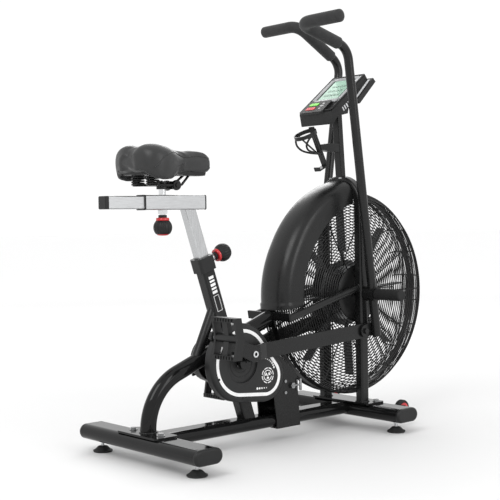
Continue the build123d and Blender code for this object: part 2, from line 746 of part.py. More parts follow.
with BuildPart() as crank_arms:
    for arm_side in SIDES:
        with BuildSketch(layer(arm_side, ARM_IN, ARM_OUT)):
            with Locations(throw_pin(arm_side)):
                Circle(25)
            with Locations(pedal_axis(arm_side)):
                Circle(17)
            make_hull()
        extrude(amount=ARM_OUT - ARM_IN)
    flat_faces = crank_arms.faces().filter_by(Axis.Y)
    chamfer(flat_faces.edges(), 1.5)
    for arm_side in SIDES:
        with BuildSketch(layer(arm_side, ARM_OUT, PEDAL_OUT - 12)):
            with Locations(pedal_axis(arm_side)):
                Circle(7)
        extrude(amount=PEDAL_OUT - 12 - ARM_OUT)
        with BuildSketch(layer(arm_side, ARM_OUT, ARM_OUT + 3)):
            with Locations(throw_pin(arm_side)):
                Circle(8)
                Circle(5, mode=Mode.SUBTRACT)
        extrude(amount=3)

with BuildPart() as crank_set:
    add(crank_spindle.part)
    add(crank_arms.part)

PEDAL_REACH = 61                # from the axle to the toothed edge
PEDAL_BEND = 11                 # how far the chevron's middle stands forward


def pedal(side):
    """Two chevron end plates, a boss round the axle and toothed treads between them."""
    x, z = pedal_axis(side)
    bar = 13

    def chevron(half, reach):
        return ((x + half, z), (x - PEDAL_BEND + half, z + reach), (x - PEDAL_BEND - half, z + reach),
                (x - half, z), (x - PEDAL_BEND - half, z - reach), (x - PEDAL_BEND + half, z - reach),
                (x + half, z))

    with BuildPart() as body:
        with BuildSketch(layer(side, PEDAL_IN, PEDAL_OUT)):
            with Locations((x, z)):
                Circle(14)
            for end in (1, -1):
                with Locations((x - PEDAL_BEND, z + end * (PEDAL_REACH - bar / 2))):
                    Rectangle(26, bar)
        extrude(amount=PEDAL_OUT - PEDAL_IN)
        for plate_in in (PEDAL_IN, PEDAL_OUT - 8):
            with BuildSketch(layer(side, plate_in, plate_in + 8)):
                with BuildLine():
                    Polyline(*chevron(13, PEDAL_REACH))
                make_face()
            extrude(amount=8)
        with BuildSketch(layer(side, PEDAL_IN + 40, PEDAL_IN + 62)):
            with BuildLine():
                Polyline(*chevron(8, PEDAL_REACH - 4))
            make_face()
        extrude(amount=22)
        for tooth in range(7):
            tooth_in = PEDAL_IN + 14 + tooth * 12
            with BuildSketch(layer(side, tooth_in, tooth_in + 6)):
                for end in (1, -1):
                    with Locations((x - PEDAL_BEND, z + end * (PEDAL_REACH - bar / 2))):
                        Rectangle(32, 9)
            extrude(amount=6)
        with BuildSketch(layer(side, PEDAL_IN, PEDAL_OUT - 8)):
            with Locations((x, z)):
                Circle(7 + RUN)
        extrude(amount=PEDAL_OUT - 8 - PEDAL_IN, mode=Mode.SUBTRACT)
    return body


pedal_right = pedal(RIGHT)
pedal_left = pedal(LEFT)

LINK_HEIGHT = 48
LINK_REAR = (112.5, 118.5)       # |Y| of the rear end, which carries the eye
LINK_MAIN = (104.5, 110.5)       # |Y| of the long run
EYE_IN = 105
EYE_OUT = 119


def link_arm(side):
    """Flat bar with a sideways step near the rear, an eye on the throw pin and a plain hole at the front."""
    rear = throw_pin(side)
    front = ear_pin(side)
    run = Vector(front[0] - rear[0], 0, front[1] - rear[1])
    along = run.normalized()
    up = Vector(-along.Z, 0, along.X)
    top = Plane(origin=(rear[0], 0, rear[1]), x_dir=along, z_dir=up)
    step_from, step_to, end = 34, 66, run.length + 22
    with BuildPart() as bar:
        with BuildSketch(top.offset(-LINK_HEIGHT / 2)):
            with BuildLine():
                Polyline((-24, side * LINK_REAR[0]), (step_from, side * LINK_REAR[0]),
                         (step_to, side * LINK_MAIN[0]), (end, side * LINK_MAIN[0]),
                         (end, side * LINK_MAIN[1]),
                         (step_to + 1, side * LINK_MAIN[1]), (step_from + 1, side * LINK_REAR[1]),
                         (-24, side * LINK_REAR[1]), (-24, side * LINK_REAR[0]))
            make_face()
        extrude(amount=LINK_HEIGHT)
        with BuildSketch(layer(side, EYE_IN, EYE_OUT)):
            with Locations(rear):
                Circle(25)
        extrude(amount=EYE_OUT - EYE_IN)
        with BuildSketch(layer(side, EYE_IN - 1, EYE_OUT + 1)):
            with Locations(rear):
                Circle(PIN_R + RUN)
            with Locations(front):
                Circle(8)
        extrude(amount=EYE_OUT - EYE_IN + 2, mode=Mode.SUBTRACT)
    return bar


# ---- fan -------------------------------------------------------------------------------

PADDLE_COUNT = 8
PADDLE_FROM = 141
PADDLE_TO = 286
PADDLE_WIDTH = 36
HUB_HALF = 30

with BuildPart() as fan_axle:
    with BuildSketch(layer(LEFT, 0, 250)):
        with Locations((FAN_X, FAN_Z)):
            Circle(AXLE_R)
    extrude(amount=500)

with BuildPart() as fan_hub:
    with BuildSketch(layer(LEFT, 0, HUB_HALF)):
        with Locations((FAN_X, FAN_Z)):
            Circle(38)
    extrude(amount=2 * HUB_HALF)
    with BuildSketch(layer(LEFT, 0, 3)):
        with Locations((FAN_X, FAN_Z)):
            Circle(92)
    extrude(amount=6)
    with BuildSketch(layer(LEFT, HUB_HALF, SECOND_BELT[1])):
        with Locations((FAN_X, FAN_Z)):
            Circle(FAN_PULLEY_R)
    extrude(amount=SECOND_BELT[1] - HUB_HALF)
    with BuildSketch(layer(LEFT, 0, 70)):
        with Locations((FAN_X, FAN_Z)):
            Circle(AXLE_R + RUN)
    extrude(amount=140, mode=Mode.SUBTRACT)

with BuildPart() as fan_paddles:
    for blade in range(PADDLE_COUNT):
        angle = 49 - blade * 360 / PADDLE_COUNT
        spoke_length = PADDLE_TO - 92
        with BuildSketch(around_fan(angle).offset(-2)):
            with Locations((92 + spoke_length / 2, 0)):
                Rectangle(spoke_length, 14)
            with Locations(((PADDLE_FROM + PADDLE_TO) / 2, 0)):
                Rectangle(PADDLE_TO - PADDLE_FROM, PADDLE_WIDTH)
        extrude(amount=4)
    with BuildSketch(layer(LEFT, 0, 5)):
        with Locations((FAN_X, FAN_Z)):
            Circle(112)
            Circle(92, mode=Mode.SUBTRACT)
    extrude(amount=10)

# ---- levers and pegs -------------------------------------------------------------------

PEG_FROM = 150
PEG_TO = 258
with BuildPart() as foot_pegs:
    for peg_side in SIDES:
        with BuildSketch(layer(peg_side, PEG_FROM, PEG_TO)):
            with Locations((FAN_X, FAN_Z)):
                Circle(19)
        extrude(amount=PEG_TO - PEG_FROM)
        with BuildSketch(layer(peg_side, PEG_FROM, 250)):
            with Locations((FAN_X, FAN_Z)):
                Circle(AXLE_R)
        extrude(amount=250 - PEG_FROM, mode=Mode.SUBTRACT)
    fillet(foot_pegs.edges().filter_by(lambda e: abs(abs(e.center().Y) - PEG_TO) < 0.1), 5)

LEVER_KNEE = 815                # height above the pivot where the upright run would meet the handle's slope
KNEE_Y = 139
HANDLE_CORNER = (-211, 901)
CORNER_Y = 150
HANDLE_END = 322
KNEE_R = 60
CORNER_R = 48
GRIP_START = 42                 # from the knee, along the slope
GRIP_CAP = 5
HUB_IN = 103.5
HUB_OUT = 148


def lever_path(side, start_up):
    """Corners of the lever's centre line: upright run, slope rearward from the knee, handle outward."""
    corners = []
    for forward, up, y in ((0, start_up, LEVER_Y), (0, LEVER_KNEE, KNEE_Y), (*HANDLE_CORNER, CORNER_Y),
                           (*HANDLE_CORNER, HANDLE_END)):
        x, z = lever_point(side, forward, up)
        corners.append((x, side * y, z))
    return corners


def lever(side):
    foot, knee, corner, tip = lever_path(side, -143)
    with BuildPart() as piece:
        with BuildLine() as path:
            FilletPolyline(foot, knee, corner, tip, radius=[KNEE_R, CORNER_R])
        with BuildSketch(Plane(origin=foot, x_dir=(0, 1, 0), z_dir=path.line % 0)):
            Circle(LEVER_R)
        sweep(path=path.line)
        with BuildSketch(layer(side, HUB_IN, HUB_OUT)):
            with Locations((FAN_X, FAN_Z)):
                Circle(24)
        extrude(amount=HUB_OUT - HUB_IN)
        with BuildSketch(layer(side, 112.5, 119)):
            with Locations(ear_pin(side)):
                Circle(21)
            with Locations(lever_point(side, 8, -118)):
                Circle(21)
            make_hull()
        extrude(amount=6.5)
        with BuildSketch(layer(side, 119, 126)):
            with Locations(ear_pin(side)):
                RegularPolygon(10, 6)
        extrude(amount=7)
        with BuildSketch(layer(side, HUB_IN, HUB_OUT)):
            with Locations((FAN_X, FAN_Z)):
                Circle(AXLE_R + RUN)
        extrude(amount=HUB_OUT - HUB_IN, mode=Mode.SUBTRACT)
    return piece


def grip(side):
    """Foam sleeve over the sloping run and the outward handle, closed at the tip."""
    foot, knee, corner, tip = lever_path(side, 0)
    slope = (Vector(*corner) - Vector(*knee)).normalized()
    start = Vector(*knee) + slope * GRIP_START
    with BuildPart() as piece:
        with BuildLine() as path:
            FilletPolyline(start, corner, tip, radius=CORNER_R)
        with BuildSketch(Plane(origin=start, x_dir=(0, 1, 0), z_dir=path.line % 0)):
            Circle(GRIP_R)
            Circle(LEVER_R, mode=Mode.SUBTRACT)
        sweep(path=path.line)
        with BuildSketch(layer(side, HANDLE_END, HANDLE_END + GRIP_CAP)):
            with Locations((tip[0], tip[2])):
                Circle(GRIP_R)
        extrude(amount=GRIP_CAP)
    return piece


link_right = link_arm(RIGHT)
link_left = link_arm(LEFT)
lever_right = lever(RIGHT)
lever_left = lever(LEFT)
grip_right = grip(RIGHT)
grip_left = grip(LEFT)

# ---- seat ------------------------------------------------------------------------------

RAIL_BOTTOM = RAIL_Z - RAIL_SIZE / 2
SLEEVE_BOTTOM = RAIL_Z - SLEEVE_SIZE / 2
SLEEVE_TOP = RAIL_Z + SLEEVE_SIZE / 2
SLEEVE_WALL = 2.5
POST_LONG = 38
POST_WIDE = 30
POST_SLIP = 0.3                 # gap between the post and the collar's mouth
RING_R = 12
BALL_R = 28
BALL_OUT = 84                   # from the seat tube's axis to the middle of the ball knob


def pull_axis(offset):
    """Plane across the seat tube's spring pin; the offset runs forwards from the tube's axis."""
    return Plane(origin=on_seat_tube(KNOB_Z), x_dir=(0, 1, 0), z_dir=PULL_DIR).offset(offset)


with BuildPart() as seat_collar:
    with BuildSketch(across_seat_tube(COLLAR_BOTTOM)):
        RectangleRounded(60, 50, 9)
    extrude(amount=(COLLAR_TOP - COLLAR_BOTTOM) / cos(radians(SEAT_TILT)))
    add(seat_tube_whole.part, mode=Mode.SUBTRACT)
    with BuildSketch(across_seat_tube(COLLAR_BOTTOM)):
        RectangleRounded(POST_LONG + 2 * POST_SLIP, POST_WIDE + 2 * POST_SLIP, 3)
    extrude(amount=80, mode=Mode.SUBTRACT)
    with BuildSketch(pull_axis(10)):
        Circle(PULL_R + RUN)
    extrude(amount=40, mode=Mode.SUBTRACT)

with BuildPart() as post_knob:
    with BuildSketch(pull_axis(15)):
        Circle(PULL_R)
    extrude(amount=30)
    with BuildSketch(pull_axis(30.4)):
        Circle(RING_R)
    extrude(amount=BALL_OUT - 30.4)
    with Locations(pull_axis(BALL_OUT).location):
        Sphere(BALL_R)

POST_FOOT_Z = 447
with BuildPart() as seat_post:
    with BuildSketch(across_seat_tube(POST_FOOT_Z)):
        RectangleRounded(POST_LONG, POST_WIDE, 3)
        RectangleRounded(POST_LONG - 2 * WALL, POST_WIDE - 2 * WALL, 1, mode=Mode.SUBTRACT)
    extrude(amount=350)
    with BuildSketch(across_seat_tube(POST_FOOT_Z)):
        with Locations((POST_LONG / 2 - WALL / 2, 0)):
            Rectangle(2 * WALL, 12)
    extrude(amount=262, mode=Mode.SUBTRACT)
    with BuildSketch(upright(ahead(166), RAIL_BOTTOM)):
        Rectangle(200, 100)
    extrude(amount=200, mode=Mode.SUBTRACT)

RAIL_REAR = ahead(-131)
RAIL_FRONT = ahead(200)
with BuildPart() as seat_rail:
    with BuildSketch(Plane.YZ.offset(RAIL_REAR)):
        with Locations((0, RAIL_Z)):
            RectangleRounded(RAIL_SIZE, RAIL_SIZE, 4)
            RectangleRounded(RAIL_SIZE - 6, RAIL_SIZE - 6, 2, mode=Mode.SUBTRACT)
    extrude(amount=RAIL_FRONT - RAIL_REAR)
    with BuildSketch(upright(ahead(40), RAIL_BOTTOM - 1)):
        SlotOverall(200, 12)
    extrude(amount=6, mode=Mode.SUBTRACT)

with BuildPart() as rail_end_cap:
    with BuildSketch(Plane.YZ.offset(RAIL_REAR - 12)):
        with Locations((0, RAIL_Z)):
            RectangleRounded(RAIL_SIZE, RAIL_SIZE, 4)
    extrude(amount=12)
    fillet(rail_end_cap.faces().sort_by(Axis.X)[0].edges(), 3)

SLEEVE_REAR = ahead(-4)
SLEEVE_FRONT = ahead(217)
SLOT_REAR = ahead(94)           # the sleeve's underside is open from here forwards, to pass the post
SLOT_HALF = 16
with BuildPart() as seat_sleeve:
    with BuildSketch(Plane.YZ.offset(SLEEVE_REAR)):
        with Locations((0, RAIL_Z)):
            RectangleRounded(SLEEVE_SIZE, SLEEVE_SIZE, 5)
            RectangleRounded(SLEEVE_SIZE - 2 * SLEEVE_WALL, SLEEVE_SIZE - 2 * SLEEVE_WALL, 3,
                             mode=Mode.SUBTRACT)
    extrude(amount=SLEEVE_FRONT - SLEEVE_REAR)
    with BuildSketch(upright((SLOT_REAR + SLEEVE_FRONT + 10) / 2, SLEEVE_BOTTOM - 1)):
        Rectangle(SLEEVE_FRONT + 10 - SLOT_REAR, 2 * SLOT_HALF)
    extrude(amount=SLEEVE_WALL + 3, mode=Mode.SUBTRACT)
    with BuildSketch(upright(SADDLE_PIN_X, SLEEVE_BOTTOM - 1)):
        Circle(PULL_R + RUN)
    extrude(amount=SLEEVE_WALL + 3, mode=Mode.SUBTRACT)

with BuildPart() as sleeve_bush:
    for bush_x in (SLEEVE_REAR - 4, SLEEVE_FRONT):
        with BuildSketch(Plane.YZ.offset(bush_x)):
            with Locations((0, RAIL_Z)):
                RectangleRounded(SLEEVE_SIZE + 1, SLEEVE_SIZE + 1, 5.5)
                RectangleRounded(RAIL_SIZE + 0.7, RAIL_SIZE + 0.7, 3, mode=Mode.SUBTRACT)
        extrude(amount=4)
    with BuildSketch(upright(SLEEVE_FRONT + 4, SLEEVE_BOTTOM - 2)):
        Rectangle(12, 2 * SLOT_HALF)
    extrude(amount=SLEEVE_WALL + 4, mode=Mode.SUBTRACT)

PIN_TOP = 830
SADDLE_PIN_R = 10.75
NUT_LOW = 731
STEM_LOW = 719
with BuildPart() as saddle_pin:
    with BuildSketch(upright(SADDLE_PIN_X, SLEEVE_TOP)):
        Circle(SADDLE_PIN_R)
    extrude(amount=PIN_TOP - SLEEVE_TOP)
    with BuildSketch(upright(SADDLE_PIN_X, NUT_LOW)):
        RegularPolygon(16, 6)
    extrude(amount=SLEEVE_BOTTOM - NUT_LOW)
    with BuildSketch(upright(SADDLE_PIN_X, STEM_LOW)):
        Circle(8.5)
    extrude(amount=NUT_LOW - STEM_LOW)
    with BuildSketch(upright(SADDLE_PIN_X, STEM_LOW)):
        Circle(PULL_R + RUN)
    extrude(amount=SLEEVE_BOTTOM - STEM_LOW, mode=Mode.SUBTRACT)

with BuildPart() as slider_knob:
    with BuildSketch(upright(SADDLE_PIN_X, STEM_LOW - 28)):
        Circle(PULL_R)
    extrude(amount=RAIL_BOTTOM + 2 - STEM_LOW + 28)
    with BuildSketch(upright(SADDLE_PIN_X, STEM_LOW - 7)):
        Circle(RING_R)
    extrude(amount=6.6)
    with Locations((SADDLE_PIN_X, 0, STEM_LOW - 28)):
        Sphere(BALL_R)

# Clamp round the saddle pin, with the cross barrel that the saddle's jaws tilt on.
BARREL_HALF = 17
TILT_BOLT_R = 4
JAW_IN = 17.4
JAW_OUT = 29
with BuildPart() as saddle_clamp:
    with BuildSketch(upright(SADDLE_PIN_X, 804)):
        Circle(17)
        with Locations(((TILT_X - SADDLE_PIN_X) / 2, 0)):
            Rectangle(TILT_X - SADDLE_PIN_X, 20)
        Circle(SADDLE_PIN_R, mode=Mode.SUBTRACT)
    extrude(amount=24)
    with BuildSketch(layer(LEFT, 0, BARREL_HALF)):
        with Locations((TILT_X, TILT_Z)):
            Circle(12)
    extrude(amount=2 * BARREL_HALF)
    with BuildSketch(layer(LEFT, 0, BARREL_HALF)):
        with Locations((TILT_X, TILT_Z)):
            Circle(TILT_BOLT_R + RUN)
    extrude(amount=2 * BARREL_HALF, mode=Mode.SUBTRACT)

BASE_Z = 846                    # underside of the saddle's base plate
BASE_THICK = 4
SKIRT_LOW = 827                 # lowest edge of the cover's two side wings
REAR_PAD_TOP = 930
NOSE_PAD_TOP = 919
LOBE_X = ahead(-6)
LOBE_Y = 50
LOBE_R = 52
WAIST_X = ahead(104)
WAIST_R = 38
NOSE_X = ahead(226)
NOSE_R = 25
PLATE_INSET = 6
SPRING_X = ahead(10)


def rear_outline(inset):
    """Plan of the saddle's rear: a hull round the two lobes and the waist."""
    with BuildSketch(mode=Mode.PRIVATE) as outline:
        with Locations((LOBE_X, LOBE_Y), (LOBE_X, -LOBE_Y)):
            Circle(LOBE_R - inset)
        with Locations((WAIST_X, 0)):
            Circle(WAIST_R - inset)
        make_hull()
    return outline.sketch


def nose_outline(inset):
    with BuildSketch(mode=Mode.PRIVATE) as outline:
        with Locations((WAIST_X, 0)):
            Circle(WAIST_R - inset)
        with Locations((NOSE_X, 0)):
            Circle(NOSE_R - inset)
        make_hull()
    return outline.sketch


def saddle_pad(outline, top, rounding):
    with BuildPart() as pad:
        with BuildSketch(upright(0, BASE_Z + BASE_THICK)):
            add(outline)
        extrude(amount=top - BASE_Z - BASE_THICK)
        fillet(pad.faces().sort_by(Axis.Z)[-1].edges(), rounding)
    return pad


# Saddle underside: base plate, two springs, two bent rails and the jaws that grip the barrel.
with BuildPart() as saddle_rails:
    with BuildSketch(upright(0, BASE_Z)):
        add(rear_outline(PLATE_INSET))
        add(nose_outline(PLATE_INSET))
    extrude(amount=BASE_THICK)
    for rail_side in SIDES:
        with BuildSketch(upright(SPRING_X, 812, rail_side * 36)):
            Circle(22)
            Circle(15, mode=Mode.SUBTRACT)
        extrude(amount=BASE_Z - 812)
        with BuildLine() as rail_path:
            FilletPolyline((SPRING_X - 14, rail_side * 36, 818), (ahead(56), rail_side * 23, 818),
                           (ahead(126), rail_side * 23, 818), (ahead(160), rail_side * 15, BASE_Z - 1),
                           radius=12)
        with BuildSketch(Plane(origin=rail_path.line @ 0, z_dir=rail_path.line % 0)):
            Circle(4)
        sweep(path=rail_path.line)
        with BuildSketch(layer(rail_side, JAW_IN, JAW_OUT)):
            with Locations((TILT_X, TILT_Z)):
                Circle(15)
        extrude(amount=JAW_OUT - JAW_IN)
    with BuildSketch(layer(LEFT, 0, JAW_OUT)):
        with Locations((TILT_X, TILT_Z)):
            Circle(TILT_BOLT_R)
    extrude(amount=2 * JAW_OUT)

# The cover's wings reach down past the base plate, and the two pads stand on the plate.
with BuildPart() as saddle_cushion:
    with BuildSketch(upright(0, SKIRT_LOW)):
        add(rear_outline(0))
        add(rear_outline(PLATE_INSET), mode=Mode.SUBTRACT)
    extrude(amount=BASE_Z + BASE_THICK - SKIRT_LOW)
    with BuildSketch(Plane.XZ.offset(-LOBE_Y - LOBE_R)):
        with BuildLine():
            Polyline((ahead(-35), BASE_Z + BASE_THICK), (ahead(-5), SKIRT_LOW), (ahead(50), SKIRT_LOW),
                     (ahead(112), BASE_Z + BASE_THICK), (ahead(-35), BASE_Z + BASE_THICK))
        make_face()
    extrude(amount=2 * (LOBE_Y + LOBE_R), mode=Mode.INTERSECT)
    add(saddle_pad(rear_outline(0), REAR_PAD_TOP, 26).part)
    add(saddle_pad(nose_outline(0), NOSE_PAD_TOP, 18).part)

# ---- console ---------------------------------------------------------------------------

PANEL_LOW = (ahead(713), 1062)
PANEL_UP = (cos(radians(CONSOLE_SLOPE)), sin(radians(CONSOLE_SLOPE)))
PANEL_LENGTH = 211
PANEL_HIGH = (PANEL_LOW[0] + PANEL_LENGTH * PANEL_UP[0], PANEL_LOW[1] + PANEL_LENGTH * PANEL_UP[1])
PAD_HEIGHT = 9
PAD_ALONG = 24
PAD_LENGTH = 66
PAD_Y = 10
PAD_WIDTH = 104
KEY_LENGTH = 15
KEY_WIDTH = 40
KEY_Y = 26
START_ALONG = 37
STOP_ALONG = 13
KEY_GAP = 0.4


def panel(height, along=0, y=0):
    """Plane parallel to the console's face. Local x runs up the slope and local y is Y."""
    x = PANEL_LOW[0] + along * PANEL_UP[0] - height * PANEL_UP[1]
    z = PANEL_LOW[1] + along * PANEL_UP[1] + height * PANEL_UP[0]
    return Plane(origin=(x, y, z), x_dir=(PANEL_UP[0], 0, PANEL_UP[1]), z_dir=(-PANEL_UP[1], 0, PANEL_UP[0]))


with BuildPart() as console_shell:
    with BuildSketch(layer(LEFT, 0, CONSOLE_HALF)):
        with BuildLine():
            Polyline(PANEL_LOW, PANEL_HIGH, (PANEL_HIGH[0] + 17, PANEL_HIGH[1] - 22), (ahead(800), 1094),
                     (ahead(792), 1058), (ahead(745), 1048), (ahead(722), 1020), PANEL_LOW)
        make_face()
    extrude(amount=2 * CONSOLE_HALF)
    with BuildSketch(layer(LEFT, 0, 92)):
        with BuildLine():
            Polyline((ahead(820), 1104), (ahead(900), 1182), (ahead(912), 1170), (ahead(833), 1092),
                     (ahead(820), 1104))
        make_face()
    extrude(amount=184)
    with BuildSketch(panel(0, PAD_ALONG, PAD_Y)):
        RectangleRounded(PAD_LENGTH, PAD_WIDTH, 8)
    extrude(amount=PAD_HEIGHT)
    for key_along in (START_ALONG, STOP_ALONG):
        with BuildSketch(panel(PAD_HEIGHT - 6, key_along, KEY_Y)):
            RectangleRounded(KEY_LENGTH + 2 * KEY_GAP, KEY_WIDTH + 2 * KEY_GAP, 2.5)
        extrude(amount=7, mode=Mode.SUBTRACT)


def console_key(along):
    with BuildPart() as key:
        with BuildSketch(panel(PAD_HEIGHT - 4.6, along, KEY_Y)):
            RectangleRounded(KEY_LENGTH, KEY_WIDTH, 2)
        extrude(amount=6)
        fillet(key.faces().sort_by(Axis.Z)[-1].edges(), 0.8)
    return key


start_button = console_key(START_ALONG)
stop_button = console_key(STOP_ALONG)

with BuildPart() as console_display:
    with BuildSketch(panel(0, 128, 0)):
        RectangleRounded(122, 92, 6)
    extrude(amount=2)

MAST_TOP = (ahead(813.6), 1112)
MAST_FOOT = (ahead(832), FORK_Z + POST_Y + 4)
mast_run = Vector(MAST_TOP[0] - MAST_FOOT[0], 0, MAST_TOP[1] - MAST_FOOT[1])
with BuildPart() as mast:
    with BuildSketch(Plane(origin=(MAST_FOOT[0], 0, MAST_FOOT[1]), x_dir=(0, 1, 0), z_dir=mast_run)):
        RectangleRounded(30, 22, 4)
        RectangleRounded(30 - 2 * WALL, 22 - 2 * WALL, 2, mode=Mode.SUBTRACT)
    extrude(amount=mast_run.length)
    add(fork_outer.part, mode=Mode.SUBTRACT)
    add(fork_bore.part, mode=Mode.SUBTRACT)
    add(console_shell.part, mode=Mode.SUBTRACT)

# ---- bottle cage -----------------------------------------------------------------------

CAGE_LOW = (ahead(757), 884)
CAGE_TILT = 26                  # from the vertical, top end rearward
CAGE_LENGTH = 144
HOOP_R = 39
BAR_HALF = 11


def bottle(along, out=0):
    """Plane across the bottle's length. Local x points rearward, away from the cage's back bar."""
    turn = radians(CAGE_TILT)
    x = CAGE_LOW[0] - along * sin(turn) - out * cos(turn)
    z = CAGE_LOW[1] + along * cos(turn) - out * sin(turn)
    return Plane(origin=(x, 0, z), x_dir=(-cos(turn), 0, -sin(turn)), z_dir=(-sin(turn), 0, cos(turn)))


with BuildPart() as bottle_cage:
    with BuildSketch(bottle(0)):
        Rectangle(6, 2 * BAR_HALF)
    extrude(amount=CAGE_LENGTH)
    with BuildSketch(bottle(CAGE_LENGTH - 18)):
        with Locations((HOOP_R - 3, 0)):
            Circle(HOOP_R)
            Circle(HOOP_R - 4, mode=Mode.SUBTRACT)
    extrude(amount=13)
    with BuildSketch(bottle(0)):
        with Locations((20, 0)):
            Rectangle(40, 26)
    extrude(amount=5)
    with BuildSketch(bottle(0)):
        with Locations((38, 0)):
            Rectangle(4, 26)
    extrude(amount=14)
    for arm_side in SIDES:
        arm_top = bottle(CAGE_LENGTH - 12, HOOP_R - 3).origin + Vector(0, arm_side * (HOOP_R - 2), 0)
        arm_low = bottle(46, 4).origin + Vector(0, arm_side * 6, 0)
        with BuildSketch(Plane(origin=arm_top, z_dir=arm_low - arm_top)):
            Circle(3)
        extrude(amount=(arm_low - arm_top).length)
    with BuildSketch(layer(LEFT, 0, 13)):
        with BuildLine():
            Polyline((ahead(728), 940), (ahead(722), 956), (ahead(770), 962), (ahead(812.5), 962),
                     (ahead(814), 934), (ahead(770), 934), (ahead(728), 940))
        make_face()
    extrude(amount=26)
    add(mast.part, mode=Mode.SUBTRACT)

# ---- pieces ----------------------------------------------------------------------------

pieces = {
    "rear_stabiliser": rear_stabiliser,
    "front_stabiliser": front_weldment,
    "end_caps": end_caps,
    **feet,
    "spine_tube": spine_tube,
    "mount_plates": mount_plates,
    "frame_bolts": frame_bolts,
    "wheel_right": wheel_right,
    "wheel_left": wheel_left,
    "arch_tube": arch_tube,
    "seat_tube": seat_tube,
    "brace_tubes": brace_tubes,
    "bottom_bracket": bottom_bracket,
    "drive_bracket": drive_bracket,
    "bearings": bearings,
    "fan_fork": fan_fork,
    "mast": mast,
    "grille_right": grille_right,
    "grille_left": grille_left,
    "cage_rim": cage_rim,
    "fan_shroud": fan_shroud,
    "fan_axle": fan_axle,
    "foot_pegs": foot_pegs,
    "housing_outer": housing_outer,
    "housing_inner": housing_inner,
    "belt_guard": belt_guard,
    "drive_belts": drive_belts,
    "bottle_cage": bottle_cage,
    "console_shell": console_shell,
    "console_display": console_display,
    "start_button": start_button,
    "stop_button": stop_button,
    "seat_collar": seat_collar,
    "post_knob": post_knob,
    "seat_post": seat_post,
    "seat_rail": seat_rail,
    "rail_end_cap": rail_end_cap,
    "seat_sleeve": seat_sleeve,
    "sleeve_bush": sleeve_bush,
    "saddle_pin": saddle_pin,
    "saddle_clamp": saddle_clamp,
    "slider_knob": slider_knob,
    "saddle_rails": saddle_rails,
    "saddle_cushion": saddle_cushion,
    "crank_set": crank_set,
    "crank_pulley": crank_pulley,
    "jackshaft": jackshaft,
    "fan_hub": fan_hub,
    "fan_paddles": fan_paddles,
    "link_right": link_right,
    "link_left": link_left,
    "pedal_right": pedal_right,
    "pedal_left": pedal_left,
    "lever_right": lever_right,
    "lever_left": lever_left,
    "grip_right": grip_right,
    "grip_left": grip_left,
}

os.makedirs("parts", exist_ok=True)
for name, piece in pieces.items():
    piece.part.label = name
    export_step(piece.part, f"parts/{name}.step")
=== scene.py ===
"""Air bike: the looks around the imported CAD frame. Metres, +X forward, +Y to the rider's left, +Z up."""

import math

import bmesh
import bpy
from mathutils import Matrix, Vector


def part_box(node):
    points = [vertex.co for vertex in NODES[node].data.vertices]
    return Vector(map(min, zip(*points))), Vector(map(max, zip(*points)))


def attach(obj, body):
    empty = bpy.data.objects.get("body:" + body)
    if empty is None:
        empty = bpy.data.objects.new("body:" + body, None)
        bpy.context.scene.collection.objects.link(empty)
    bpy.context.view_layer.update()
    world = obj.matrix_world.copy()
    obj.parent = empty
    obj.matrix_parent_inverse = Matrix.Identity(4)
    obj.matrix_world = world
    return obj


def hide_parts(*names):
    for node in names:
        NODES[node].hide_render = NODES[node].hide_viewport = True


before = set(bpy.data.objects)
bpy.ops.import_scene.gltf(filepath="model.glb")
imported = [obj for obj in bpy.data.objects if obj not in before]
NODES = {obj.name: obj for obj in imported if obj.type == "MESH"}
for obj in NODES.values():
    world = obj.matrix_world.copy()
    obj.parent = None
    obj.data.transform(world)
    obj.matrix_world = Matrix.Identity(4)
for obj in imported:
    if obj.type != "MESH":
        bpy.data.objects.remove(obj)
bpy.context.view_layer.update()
RIGHT, LEFT = -1, 1
X, Y, Z = Vector((1, 0, 0)), Vector((0, 1, 0)), Vector((0, 0, 1))
SIDES = {"right": RIGHT, "left": LEFT}


def ahead(distance):
    """X in metres of a point this many millimetres ahead of the rear stabiliser's axis."""
    return REAR_X + distance / 1000


def middle(node):
    low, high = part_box(node)
    return (low + high) / 2


REAR_X = middle("rear_stabiliser").x

# ---- materials


